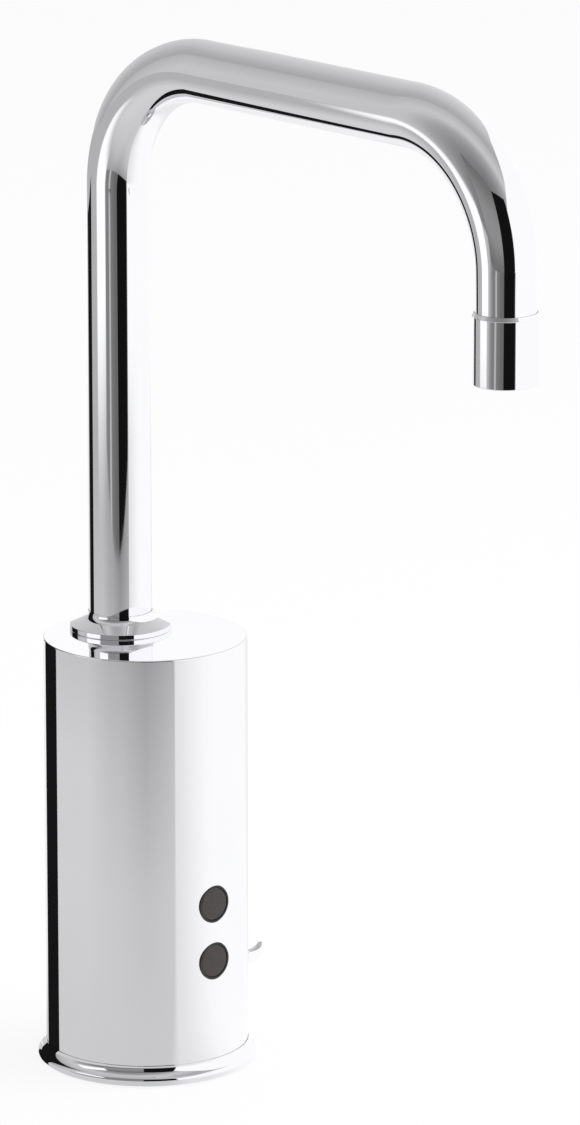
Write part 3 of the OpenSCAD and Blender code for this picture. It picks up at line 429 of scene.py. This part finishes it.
# %% [markdown]
# ## Spout
#
# The spout is a drawn tube with two tight bends of the same radius. It is a path, straight lengths and quarter
# circles, with a ring across it at each step. Towards the outlet it is drawn down gently to a slimmer neck, so
# that the stripes in the metal run on unbroken.

# %% Spout
TUBE_R, TUBE_IN_R = 9.525, 8.325
BEND_R, BEND_Z = 39.0, 268.7
NECK_R, SHOULDER_Z, RIM_Z = 8.975, 256.8, 255.7
NECK_LENGTH, NECK_STEPS = 42, 8
TUBE_STEPS, BEND_STEPS = 96, 40


def spout_path():
    """Places along the tube's axis, from the body to the neck: (y, z, direction)."""
    places = [(RISER_Y, z, (0, 1)) for z in (BODY_TOP, BODY_TOP + 1, BEND_Z - 1)]
    for i in range(BEND_STEPS + 1):
        a = math.radians(90 * i / BEND_STEPS)
        places.append((RISER_Y - BEND_R + BEND_R * math.cos(a), BEND_Z + BEND_R * math.sin(a),
                       (-math.sin(a), math.cos(a))))
    for i in range(BEND_STEPS + 1):
        a = math.radians(90 - 90 * i / BEND_STEPS)
        places.append((LEG_Y + BEND_R - BEND_R * math.cos(a), BEND_Z + BEND_R * math.sin(a),
                       (-math.sin(a), -math.cos(a))))
    for i in range(1, NECK_STEPS + 1):
        places.append((LEG_Y, BEND_Z + (SHOULDER_Z - BEND_Z) * i / NECK_STEPS, (0, -1)))
    return places


def narrowing(length_left):
    """The tube's radius and its slope at a length before the shoulder."""
    share = max(0.0, 1 - length_left / NECK_LENGTH)
    drop = TUBE_R - NECK_R
    return TUBE_R - drop * share * share * (3 - 2 * share), (1, drop * 6 * share * (1 - share) / NECK_LENGTH)


def tube_ring(y, z, direction, radius, before=(1, 0), after=(1, 0)):
    """One ring. before and after give the surface's slope: (outward share, share along the tube)."""
    along = Vector((0, *direction))
    side = Vector((1, 0, 0))
    across = along.cross(side)
    ring = []
    for i in range(TUBE_STEPS):
        a = 2 * math.pi * i / TUBE_STEPS
        out = side * math.cos(a) + across * math.sin(a)
        point = (Vector((0, y, z)) + out * radius) * MM
        ring.append((point, (out * before[0] + along * before[1]).normalized(),
                     (out * after[0] + along * after[1]).normalized()))
    return ring


path = spout_path()
inward = (-1, 0)
length_left = 0
outside = [tube_ring(LEG_Y, RIM_Z, (0, -1), NECK_R, (1, 0), (0, 1)),
           tube_ring(LEG_Y, RIM_Z, (0, -1), TUBE_IN_R, (0, 1), inward)]
for i in reversed(range(len(path))):
    y, z, direction = path[i]
    if i + 1 < len(path):
        length_left += math.dist((y, z), path[i + 1][:2])
    radius, slope = narrowing(length_left)
    outside.insert(0, tube_ring(y, z, direction, radius, slope if i else (0, -1), slope))
inside = [tube_ring(y, z, d, TUBE_IN_R, inward, inward) for y, z, d in reversed(path[1:])]
inside.append(tube_ring(*path[0], TUBE_IN_R, inward, (0, -1)))
spout = skin("drawn_spout", outside + inside)
dress(spout, chrome, "tap", "spout_tube")

# %% [markdown]
# ## Collar
#
# The collar hides the joint of spout and body. It is a flat cone on a narrow upright band, and it sweeps up to
# the tube in a hollow that ends in a fine lip.

# %% Collar
COLLAR_R, COLLAR_BAND, COLLAR_BORE_R = 15.25, 1.65, 9.625
BAND_FOOT_R, BAND_EDGE_R = 0.3, 0.25
FLARE_R, FLARE_ANGLE, FLARE_STEPS, HOLLOW_X = 2.6, 23, 20, 12.325
FINE_LIP = 0.1
slope = math.radians(FLARE_ANGLE)
HOLLOW_Z = COLLAR_BAND + (COLLAR_R - HOLLOW_X) * math.tan(slope) + FLARE_R / math.cos(slope)
COLLAR_H = HOLLOW_Z + FINE_LIP
collar = turned("flared_collar", profile(
    (COLLAR_BORE_R, BODY_TOP), (COLLAR_R - BAND_FOOT_R, BODY_TOP),
    arc((COLLAR_R - BAND_FOOT_R, BODY_TOP + BAND_FOOT_R), BAND_FOOT_R, -90, 0, EDGE_STEPS),
    arc((COLLAR_R - BAND_EDGE_R, BODY_TOP + COLLAR_BAND - BAND_EDGE_R), BAND_EDGE_R, 0, 90 - FLARE_ANGLE, EDGE_STEPS),
    arc((HOLLOW_X, BODY_TOP + HOLLOW_Z), FLARE_R, 270 - FLARE_ANGLE, 180, FLARE_STEPS),
    (HOLLOW_X - FLARE_R, BODY_TOP + COLLAR_H), (COLLAR_BORE_R, BODY_TOP + COLLAR_H)), (0, RISER_Y, 0))
dress(collar, chrome, "tap", "spout_collar")

# %% [markdown]
# ## Outlet sleeve
#
# A short turned sleeve covers the outlet's inner pieces. Its upper rim is a little wider than the tube and closes
# on the neck with a low cone, which the light from above turns into a thin pale crescent.

# %% Outlet sleeve
SLEEVE_R, SLEEVE_H, SLEEVE_EDGE = 9.6, 19.9, 0.35
RIM_R, RIM_BEVEL, SHOULDER_H, SHOULDER_T = 9.75, 0.15, 1.1, 0.1
NECK_GAP, SEAT_DROP = 0.1, 0.05
SLEEVE_BORE_R, SLEEVE_LIP_R, SLEEVE_LIP_H = 8.3, 7.3, 1.4
SLEEVE_EDGE_STEPS = 8
OUTLET_Z = 235.8
SLEEVE_TOP = OUTLET_Z + SLEEVE_H
throat_r = NECK_R + NECK_GAP
sleeve = turned("outlet_sleeve_turned", profile(
    (SLEEVE_LIP_R, OUTLET_Z), (SLEEVE_R - SLEEVE_EDGE, OUTLET_Z),
    arc((SLEEVE_R - SLEEVE_EDGE, OUTLET_Z + SLEEVE_EDGE), SLEEVE_EDGE, -90, 0, SLEEVE_EDGE_STEPS),
    (SLEEVE_R, SLEEVE_TOP - RIM_BEVEL), (RIM_R, SLEEVE_TOP),
    (throat_r + SHOULDER_T, SLEEVE_TOP + SHOULDER_H), (throat_r, SLEEVE_TOP + SHOULDER_H),
    (throat_r, SLEEVE_TOP - SEAT_DROP), (SLEEVE_BORE_R, SLEEVE_TOP - SEAT_DROP),
    (SLEEVE_BORE_R, OUTLET_Z + SLEEVE_LIP_H), (SLEEVE_LIP_R, OUTLET_Z + SLEEVE_LIP_H)), (0, LEG_Y, 0))
dress(sleeve, chrome, "tap", "outlet_sleeve")

# %% [markdown]
# ## Temperature lever
#
# The lever is one small casting: a round hub, a cone and a finger that curls up to a blunt tip. The finger is the
# skin round a row of balls that shrink along its path, so where two balls touch, the surface points straight away
# from the ball's middle. That gives the exact shading of the curl without any guess.

# %% Temperature lever
HUB_X, HUB_W, HUB_R, HUB_EDGE = 31.25, 4.2, 6.5, 0.4
SPINDLE_HOLE_R, SPINDLE_DEPTH = 3.03, 5.1
CONE_END_X, CONE_END_R, CONE_STOP_X = 39.35, 2.5, 38.5
FINGER_R, FINGER_DROP, TIP_R = 2.1, 0.4, 1.1
CURL_X, CURL_LEN, CURL_RISE = 41.25, 5.4, 2.5
LEVER_STEPS, CURL_STEPS, BLEND_STEPS, CAP_STEPS, HUB_EDGE_STEPS = 64, 24, 12, 6, 4


def lever_ring(x, z, turn, radius, before, after=None):
    """One ring across the lever's path, which has turned up by an angle.
    Slopes are (outward, along the path) or (outward, along the path, more along it towards the top)."""
    along = Vector((math.cos(turn), 0, math.sin(turn)))
    side = Vector((0, 1, 0))
    across = along.cross(side)
    ring = []
    for i in range(LEVER_STEPS if radius > POINT_R else 1):
        a = 2 * math.pi * i / LEVER_STEPS
        out = side * math.cos(a) + across * math.sin(a)
        normals = []
        for slope in (before, after or before):
            out_share, along_share, top_share = (*slope, 0)[:3]
            normals.append((out * out_share + along * (along_share + top_share * math.sin(a))).normalized())
        ring.append(((Vector((x, 0, z)) + out * radius) * MM, *normals))
    return ring


cone_slope = (CONE_END_R - HUB_R + HUB_EDGE) / (CONE_END_X - HUB_X - HUB_W)
cone_stop_r = CONE_END_R + cone_slope * (CONE_STOP_X - CONE_END_X)
hub_profile = profile(
    (0, HUB_X + SPINDLE_DEPTH), (SPINDLE_HOLE_R, HUB_X + SPINDLE_DEPTH), (SPINDLE_HOLE_R, HUB_X), (HUB_R, HUB_X),
    arc((HUB_R - HUB_EDGE, HUB_X + HUB_W - HUB_EDGE), HUB_EDGE, 0, 45, HUB_EDGE_STEPS),
    (cone_stop_r, CONE_STOP_X), (0, CONE_STOP_X))
lever_rings = [lever_ring(x, LEVER_Z, 0, r, before, after) for (r, x), before, after in hub_profile[:-2]]

# from the cone to the finger, one soft hollow
blend = CURL_X - CONE_STOP_X
for i in range(BLEND_STEPS):
    u = i / BLEND_STEPS
    r = (cone_stop_r + (FINGER_R - cone_stop_r) * u * u * (3 - 2 * u) + cone_slope * blend * u * (1 - u) ** 2)
    r_slope = ((FINGER_R - cone_stop_r) * 6 * u * (1 - u) / blend + cone_slope * (1 - u) * (1 - 3 * u))
    drop, drop_slope = FINGER_DROP * u * u * (3 - 2 * u), FINGER_DROP * 6 * u * (1 - u) / blend
    lever_rings.append(lever_ring(CONE_STOP_X + blend * u, LEVER_Z - drop, 0, r, (1, -r_slope, drop_slope)))

# the curl, a skin round shrinking balls: lean says how far a ball's ring lies ahead of its middle
for i in range(CURL_STEPS + 1):
    t = i / CURL_STEPS
    a = math.radians(90 * t)
    x, z = CURL_X + CURL_LEN * math.sin(a), LEVER_Z - FINGER_DROP + CURL_RISE * (1 - math.cos(a))
    turn = math.atan2(CURL_RISE * math.sin(a), CURL_LEN * math.cos(a))
    speed = math.pi / 2 * math.hypot(CURL_LEN * math.cos(a), CURL_RISE * math.sin(a))
    ball = FINGER_R - (FINGER_R - TIP_R) * t * t
    lean = 2 * (FINGER_R - TIP_R) * t / speed
    upright = math.sqrt(1 - lean * lean)
    lever_rings.append(lever_ring(x + math.cos(turn) * ball * lean, z + math.sin(turn) * ball * lean, turn,
                                  ball * upright, (upright, lean)))
# the round end of the last ball
start = math.asin(lean)
for i in range(1, CAP_STEPS + 1):
    a = start + (math.pi / 2 - start) * i / CAP_STEPS
    lever_rings.append(lever_ring(x, z + TIP_R * math.sin(a), turn, TIP_R * math.cos(a) if i < CAP_STEPS else 0,
                                  (math.cos(a), math.sin(a))))
lever = skin("temperature_lever", lever_rings, closed=False)
dress(lever, chrome, "mixer", "mixing_lever")

# %% [markdown]
# ## Sensor windows
#
# The emitter and the receiver look out through two smoked windows, each in a black rim that is the nose of the
# sensor's housing. The windows' faces are very slightly domed, with a narrow bevel that catches the light.

# %% Sensor windows
LENS_R, LENS_T, LENS_BEVEL, LENS_DOME = 5.05, 2.0, 0.25, 0.12
LENS_STEPS, DOME_STEPS = 96, 12


def window(name, z, node):
    """A smoked window whose face is a shallow dome."""
    dome_r = (LENS_R ** 2 + LENS_DOME ** 2) / (2 * LENS_DOME)
    half = math.degrees(math.asin((LENS_R - LENS_BEVEL) / dome_r))
    face = arc((0, LENS_T - dome_r), dome_r, 90 - half, 90, DOME_STEPS)
    outline = profile((0, 0), (LENS_R, 0), (LENS_R, LENS_T - LENS_BEVEL), face)
    piece = turned(name, outline, (0, LENS_T - BODY_R, z), LENS_STEPS, (0, -1, 0))
    dress(piece, smoked, "tap", node)


window("lower_window", WINDOW_ZS[0], "receiver_window")
window("upper_window", WINDOW_ZS[1], "emitter_window")

# %% [markdown]
# ## Springs
#
# Each valve spring gets a mesh of its own. In the tap a spring gets shorter as its valve opens and keeps still
# at the end that rests on the housing.

# %% Springs
# spring, its valve's joint, the valve's travel and the height of the end that keeps still, in metres
springs = [("armature_spring", "armature_lift", 0.002, 0.05545),
           ("hot_check_spring", "hot_check_lift", 0.002, 0.01615),
           ("cold_check_spring", "cold_check_lift", 0.002, 0.01615)]
for node, joint, travel, fixed_z in springs:
    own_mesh(nodes[node])

# %% [markdown]
# ## Floor and backdrop
#
# The ground and background are one plain white. The floor is a white sheet that shows full white to the camera
# and keeps a soft shadow under the tap. In the metal it shows painted light and shade, as paper does in a studio.
# Right of the tap it is painted bright. Left of it the paper is painted grey as shade, darker in front with a painted
# reflection of the black board, and it ends at the edge of a table, beyond which the painted shade is darker still.

# %% Helpers for paper and light
def stage_object(name, points, faces, material):
    mesh = bpy.data.meshes.new(name)
    mesh.from_pydata([Vector(p) for p in points], [], faces)
    mesh.materials.append(material)
    piece = bpy.data.objects.new(name, mesh)
    bpy.context.scene.collection.objects.link(piece)
    return piece


def math_node(tree, operation, *values):
    node = tree.nodes.new("ShaderNodeMath")
    node.operation = operation
    for socket, value in zip(node.inputs, values):
        if isinstance(value, (int, float)):
            socket.default_value = value
        else:
            tree.links.new(value, socket)
    return node.outputs["Value"]


def grey_mix(tree, factor, a, b):
    """a where the factor is 0 and b where it is 1, as plain greys."""
    return math_node(tree, "ADD", math_node(tree, "MULTIPLY", b, factor),
                     math_node(tree, "MULTIPLY", a, math_node(tree, "SUBTRACT", 1.0, factor)))


def smooth_step(tree, value, start, end):
    node = tree.nodes.new("ShaderNodeMapRange")
    node.interpolation_type = "SMOOTHSTEP"
    node.inputs["From Min"].default_value = start
    node.inputs["From Max"].default_value = end
    tree.links.new(value, node.inputs["Value"])
    return node.outputs["Result"]


def seen_turn(degrees):
    """A direction round the tap, counted from the camera's own, as a unit vector on the floor."""
    a = camera_turn + math.radians(degrees)
    return Vector((math.sin(a), -math.cos(a), 0))


def run_along(tree, x, y, direction):
    """How far a place on the floor lies along a direction."""
    return math_node(tree, "ADD", math_node(tree, "MULTIPLY", x, direction.x),
                     math_node(tree, "MULTIPLY", y, direction.y))


def beyond_line(tree, x, y, start, direction, blur_mm):
    """0 on one side of a line on the floor and 1 on the other, to the left of its direction seen from above."""
    leftward = Vector((-direction.y, direction.x, 0))
    side = math_node(tree, "SUBTRACT", run_along(tree, x, y, leftward), start.dot(leftward))
    return smooth_step(tree, side, -blur_mm * MM, blur_mm * MM)


def turn_stops(stops):
    """Stops of a colour ramp from directions round the tap, in degrees from the camera's own."""
    return [((degrees + 180) / 360, value) for degrees, value in stops]


def grey_ramp(tree, value, stops):
    grey = tree.nodes.new("ShaderNodeRGBToBW")
    tree.links.new(ramp(tree, value, stops), grey.inputs["Color"])
    return grey.outputs["Val"]


def bare_material(name):
    """A material without a shader: the material, its nodes and the socket of its surface."""
    material = bpy.data.materials.new(name)
    material.use_nodes = True
    tree = material.node_tree
    tree.nodes.clear()
    return material, tree, tree.nodes.new("ShaderNodeOutputMaterial").inputs["Surface"]


def shaded_place(tree):
    """The x, y and z of the point that is shaded, in metres."""
    place = tree.nodes.new("ShaderNodeNewGeometry")
    split = tree.nodes.new("ShaderNodeSeparateXYZ")
    tree.links.new(place.outputs["Position"], split.inputs["Vector"])
    return split.outputs["X"], split.outputs["Y"], split.outputs["Z"]


def mix_shaders(tree, share, a, b):
    """Shader a where the share is 0 and b where it is 1."""
    mix = tree.nodes.new("ShaderNodeMixShader")
    tree.links.new(share, mix.inputs["Fac"])
    tree.links.new(a, mix.inputs[1])
    tree.links.new(b, mix.inputs[2])
    return mix.outputs["Shader"]


# %% Floor
PAPER_R, FLOOR_DROP, PAPER_COLOUR = 3.0, 0.2 * MM, (0.9, 0.9, 0.9, 1)
PLAIN_WHITE_SHARE = 0.86  # of what the camera sees; the rest takes the shadow
# painted shade and the painted reflection of the black board that the metal sees on the paper, as (metres from the
# middle, grey)
LEFT_PAPER_SHADE = [(0.09, 0.62), (0.23, 0.65), (0.385, 0.64), (0.49, 0.57), (0.58, 0.53), (0.8, 0.45)]
FRONT_BOARD_REFLECTION = [(0.09, 0.04), (0.23, 0.15), (0.385, 0.32), (0.49, 0.36), (0.58, 0.46), (0.8, 0.6)]
# shares of the painted reflection, and greys of painted shade and painted light, as (degrees round from the camera's
# direction, value)
BOARD_REFLECTION_TURNS = [(-66, 0.0), (-40, 0.45), (-26, 0.55), (-13, 0.8), (0, 1.0), (13, 0.8), (33, 0.4)]
OFF_TABLE_SHADE = [(-92, 0.55), (-58, 0.5), (-50, 0.3), (-44, 0.22), (-35, 0.2), (-33, 0.48), (-29, 0.48), (-27, 0.2),
             (-10, 0.14)]
RIGHT_PAPER_LIGHT = [(-180, 0.9), (33, 0.78), (39, 0.81), (52, 0.89), (67, 0.97), (83, 1.0), (145, 1.0), (164, 0.84)]
# the painted light right of the tap turns full white between these distances, in metres
WHITE_FROM, WHITE_AT = 0.75, 1.0
# two lines on the floor, the table's edge and the edge of the painted shade: a place in metres, a direction and half
# the width of the change in millimetres
TABLE_EDGE = Vector((-0.160, -0.744, 0)), Vector((-0.661, 0.750, 0)), 20
SHADE_EDGE = seen_turn(16) * 0.0307, seen_turn(33), 6


def make_paper():
    """White paper for the camera and for matt surfaces; in the metal it shows painted shade, painted light and a
    painted reflection of the black board.
    """
    material, tree, surface = bare_material("white_paper")
    rays = tree.nodes.new("ShaderNodeLightPath").outputs
    x, y, _ = shaded_place(tree)
    forward, sideways = run_along(tree, x, y, seen_turn(0)), run_along(tree, x, y, seen_turn(90))
    turn = math_node(tree, "MULTIPLY_ADD", math_node(tree, "ARCTAN2", sideways, forward), 0.5 / math.pi, 0.5)
    distance = math_node(tree, "SQRT", math_node(tree, "ADD", math_node(tree, "MULTIPLY", x, x),
                                                 math_node(tree, "MULTIPLY", y, y)))

    # painted reflection of the black board, which darkens the paper in front of the tap
    board_reflection = math_node(tree, "MULTIPLY", grey_ramp(tree, distance, FRONT_BOARD_REFLECTION),
                        grey_ramp(tree, turn, turn_stops(BOARD_REFLECTION_TURNS)))
    shade_on_table = math_node(tree, "MULTIPLY", grey_ramp(tree, distance, LEFT_PAPER_SHADE),
                         math_node(tree, "SUBTRACT", 1.0, board_reflection))
    # painted shade beyond the table's edge, with one paler painted stripe
    shade_off_table = grey_ramp(tree, turn, turn_stops(OFF_TABLE_SHADE))
    left = grey_mix(tree, beyond_line(tree, x, y, *TABLE_EDGE), shade_on_table, shade_off_table)
    # painted light right of the tap, full white far off
    right = grey_mix(tree, smooth_step(tree, distance, WHITE_FROM, WHITE_AT),
                     grey_ramp(tree, turn, turn_stops(RIGHT_PAPER_LIGHT)), 1.0)
    # painted shade on the left and painted light on the right, split at the edge of the shade
    painted_in_metal = grey_mix(tree, beyond_line(tree, x, y, *SHADE_EDGE), left, right)

    diffuse = tree.nodes.new("ShaderNodeBsdfDiffuse")
    diffuse.inputs["Color"].default_value = PAPER_COLOUR
    glow = tree.nodes.new("ShaderNodeEmission")
    tree.links.new(grey_mix(tree, rays["Is Camera Ray"], painted_in_metal, 1.0), glow.inputs["Strength"])
    lit = math_node(tree, "MAXIMUM", math_node(tree, "MULTIPLY", rays["Is Camera Ray"], PLAIN_WHITE_SHARE),
                    rays["Is Glossy Ray"])
    tree.links.new(mix_shaders(tree, lit, diffuse.outputs["BSDF"], glow.outputs["Emission"]), surface)
    return material


stage_object("floor", [(-PAPER_R, -PAPER_R, -FLOOR_DROP), (PAPER_R, -PAPER_R, -FLOOR_DROP),
                       (PAPER_R, PAPER_R, -FLOOR_DROP), (-PAPER_R, PAPER_R, -FLOOR_DROP)], [(0, 1, 2, 3)], make_paper())
print("floor:", 2 * PAPER_R, "m wide")

# %% [markdown]
# ## Cards
#
# A photographer stands cards round polished metal, because the metal shows nothing else. A near black table and
# board in front give the dark band down the spout. Black felt and a low black board close behind the tap draw the
# dark line down the body's left side. A grey board with two paler ones before it, which fade upwards, and a
# soft-edged box give the greys of the left side. White cards to the right, highest straight to the side and low
# towards the back, give the bright stripes and the white right side. The cards are seen only in the metal and cast
# no shadow.

# %% Helpers for cards
def soften(piece, start, end, sides_mm, low, low_mm, high, high_mm):
    """Lets a card fade out towards its edges, measured between two places on the floor and two heights."""
    tree = piece.data.materials[0].node_tree
    x, y, z = shaded_place(tree)
    along = (Vector(end) - Vector(start)).normalized()
    run = run_along(tree, x, y, along)
    first, last = Vector(start).dot(along), Vector(end).dot(along)
    share = 1.0
    for value, edge, full in [(run, first, first + sides_mm), (run, last, last - sides_mm),
                              (z, low, low + low_mm), (z, high, high - high_mm)]:
        share = math_node(tree, "MULTIPLY", share, smooth_step(tree, value, edge * MM, full * MM))
    surface = tree.nodes["Material Output"].inputs["Surface"]
    glow = surface.links[0].from_socket
    clear = tree.nodes.new("ShaderNodeBsdfTransparent")
    tree.links.new(mix_shaders(tree, share, clear.outputs["BSDF"], glow), surface)


def card(name, points_mm, strength):
    """A flat card of one plain brightness that only shows in the metal."""
    material, tree, surface = bare_material(name)
    glow = tree.nodes.new("ShaderNodeEmission")
    glow.inputs["Strength"].default_value = strength
    tree.links.new(glow.outputs["Emission"], surface)
    piece = stage_object(name, [Vector(p) * MM for p in points_mm], [tuple(range(len(points_mm)))], material)
    piece.visible_camera = False
    piece.visible_diffuse = False
    piece.visible_shadow = False
    piece.visible_transmission = False
    piece.visible_volume_scatter = False
    return piece


def standing(name, a, b, low, high, strength):
    """An upright card between two places on the floor."""
    return card(name, [(*a, low), (*b, low), (*b, high), (*a, high)], strength)


def from_riser(degrees, distance):
    """A place on the floor, seen from the riser: degrees from the camera's direction and millimetres."""
    spot = Vector((0, RISER_Y, 0)) + seen_turn(degrees) * distance
    return (spot.x, spot.y)


def across(turn_a, turn_b, distance):
    """The two ends of a card that stands across a view from the riser."""
    return from_riser(turn_a, distance), from_riser(turn_b, distance)


# %% Cards
# brightnesses
BLACK, FELT_BLACK, GREY, WHITE = 0.006, 0.008, 0.16, 1.0
# the black table and the boards at its far end; the table's near edge is a little nearer on the left
TABLE_Z, BOARD_AT, BLACK_BOARD_H, GREY_BOARD_H = 0.3, 1400, 1070, 1100
table_near, table_far = [(-428, -440), (-160, -744)], across(-4, 30.5, BOARD_AT)
card("black_table", [(*spot, TABLE_Z) for spot in (*table_near, *reversed(table_far))], BLACK)
standing("black_board", *table_far, 0, BLACK_BOARD_H, BLACK)
standing("grey_board", *across(-50, -4, BOARD_AT), 0, GREY_BOARD_H, GREY)

# the felt reaches from the body's foot to the low board behind the tap
FELT_Z, BACK_BOARD_H = 0.2, 247
felt = [(-31.5, 11), (-24, 23), (-7.2, 76.5), (-69.2, 133.5)]
card("black_felt", [(*spot, FELT_Z) for spot in felt], FELT_BLACK)
standing("black_back_board", *felt[2:], 0, BACK_BOARD_H, FELT_BLACK)

# paler boards just before the grey one: directions of the ends, distance, brightness, height of the fade at the foot
PALE_H, PALE_SIDES, PALE_FADE = 1050, 12, 700
for name, turns, distance, strength, rise in [("pale_board", (-50, -4), 1390, 0.27, 300),
                                              ("pale_stripe", (-33, -29), 1385, 0.38, 1)]:
    ends = across(*turns, distance)
    soften(standing(name, *ends, 0, PALE_H, strength), *ends, PALE_SIDES, 0, rise, PALE_H, PALE_FADE)

BOX_ENDS, BOX_LOW, BOX_HIGH, BOX_STRENGTH = ((-388, -18), (-271, 204)), 75, 290, 1.05
BOX_SIDES, BOX_FOOT_FADE, BOX_TOP_FADE = 32, 92, 55
softbox = standing("left_softbox", *BOX_ENDS, BOX_LOW, BOX_HIGH, BOX_STRENGTH)
soften(softbox, *BOX_ENDS, BOX_SIDES, BOX_LOW, BOX_FOOT_FADE, BOX_HIGH, BOX_TOP_FADE)

# the wall of white cards: its direction and its height at every corner
WALL_AT, BACK_CARD_AT, BACK_CARD_H = 1450, 1000, 440
wall = [(31, 900), (60, 1500), (90, 1950), (112, 1850), (135, 1250), (150, 850), (164, 500), (178, 300)]
for i, ((turn_a, high_a), (turn_b, high_b)) in enumerate(zip(wall, wall[1:])):
    a, b = across(turn_a, turn_b, WALL_AT)
    card(f"right_card_{i}", [(*a, 0), (*b, 0), (*b, high_b), (*a, high_a)], WHITE)
standing("back_card", *across(176, 190, BACK_CARD_AT), 0, BACK_CARD_H, WHITE)
print("cards stand round the tap and are seen only in the metal")

# %% [markdown]
# ## Light
#
# The sky of the studio is a plain soft light. The camera sees it as white. In the metal it is a gentle grey that
# is lightest behind the tap, and the edge of a ceiling panel leaves one fine line along the level arm. One large
# lamp gives the shadow its side.

# %% World
SKY_FRONT = -20  # degrees from the camera's direction
MATT_SKY = 0.8
# greys that the metal sees, from the direction opposite to that (0) to that direction itself (1)
SKY_GREYS = [(0.0, 0.704), (0.036, 0.696), (0.077, 0.64), (0.14, 0.588), (0.22, 0.544), (0.317, 0.46), (0.41, 0.408),
             (0.447, 0.40), (0.455, 0.46), (0.49, 0.48), (0.56, 0.524), (0.61, 0.572), (0.66, 0.544), (0.74, 0.368),
             (0.85, 0.24), (1.0, 0.112)]

world = bpy.data.worlds.new("studio")
bpy.context.scene.world = world
world.use_nodes = True
sky = world.node_tree
sky.nodes.clear()
sky_out = sky.nodes.new("ShaderNodeOutputWorld")
rays = sky.nodes.new("ShaderNodeLightPath").outputs
background = sky.nodes.new("ShaderNodeBackground")
background.inputs["Color"].default_value = (1, 1, 1, 1)
coordinate = sky.nodes.new("ShaderNodeTexCoord")
towards_front = sky.nodes.new("ShaderNodeVectorMath")
towards_front.operation = "DOT_PRODUCT"
towards_front.inputs[1].default_value = seen_turn(SKY_FRONT)
sky.links.new(coordinate.outputs["Generated"], towards_front.inputs[0])
frontness = math_node(sky, "MULTIPLY_ADD", towards_front.outputs["Value"], 0.5, 0.5)
off_camera = grey_mix(sky, rays["Is Diffuse Ray"], grey_ramp(sky, frontness, SKY_GREYS), MATT_SKY)
sky.links.new(grey_mix(sky, rays["Is Camera Ray"], off_camera, 1.0), background.inputs["Strength"])
sky.links.new(background.outputs["Background"], sky_out.inputs["Surface"])
print("sky with", len(SKY_GREYS), "greys from the back to the front")

# %% Lamp
LAMP_AT, LAMP_AIM = Vector((0.5, -0.5, 1.3)), Vector((0, 0, 0.1))
LAMP_SIZE, LAMP_POWER = 0.9, 9.0

lamp_data = bpy.data.lights.new("key_lamp", "AREA")
lamp_data.shape = "DISK"
lamp_data.size = LAMP_SIZE
lamp_data.energy = LAMP_POWER
lamp = bpy.data.objects.new("key_lamp", lamp_data)
lamp.location = LAMP_AT
lamp.rotation_euler = (LAMP_AIM - LAMP_AT).to_track_quat("-Z", "Y").to_euler()
lamp.visible_glossy = False
bpy.context.scene.collection.objects.link(lamp)
bpy.context.scene.view_settings.view_transform = "Standard"
print("lamp at", [round(v, 2) for v in lamp.location])
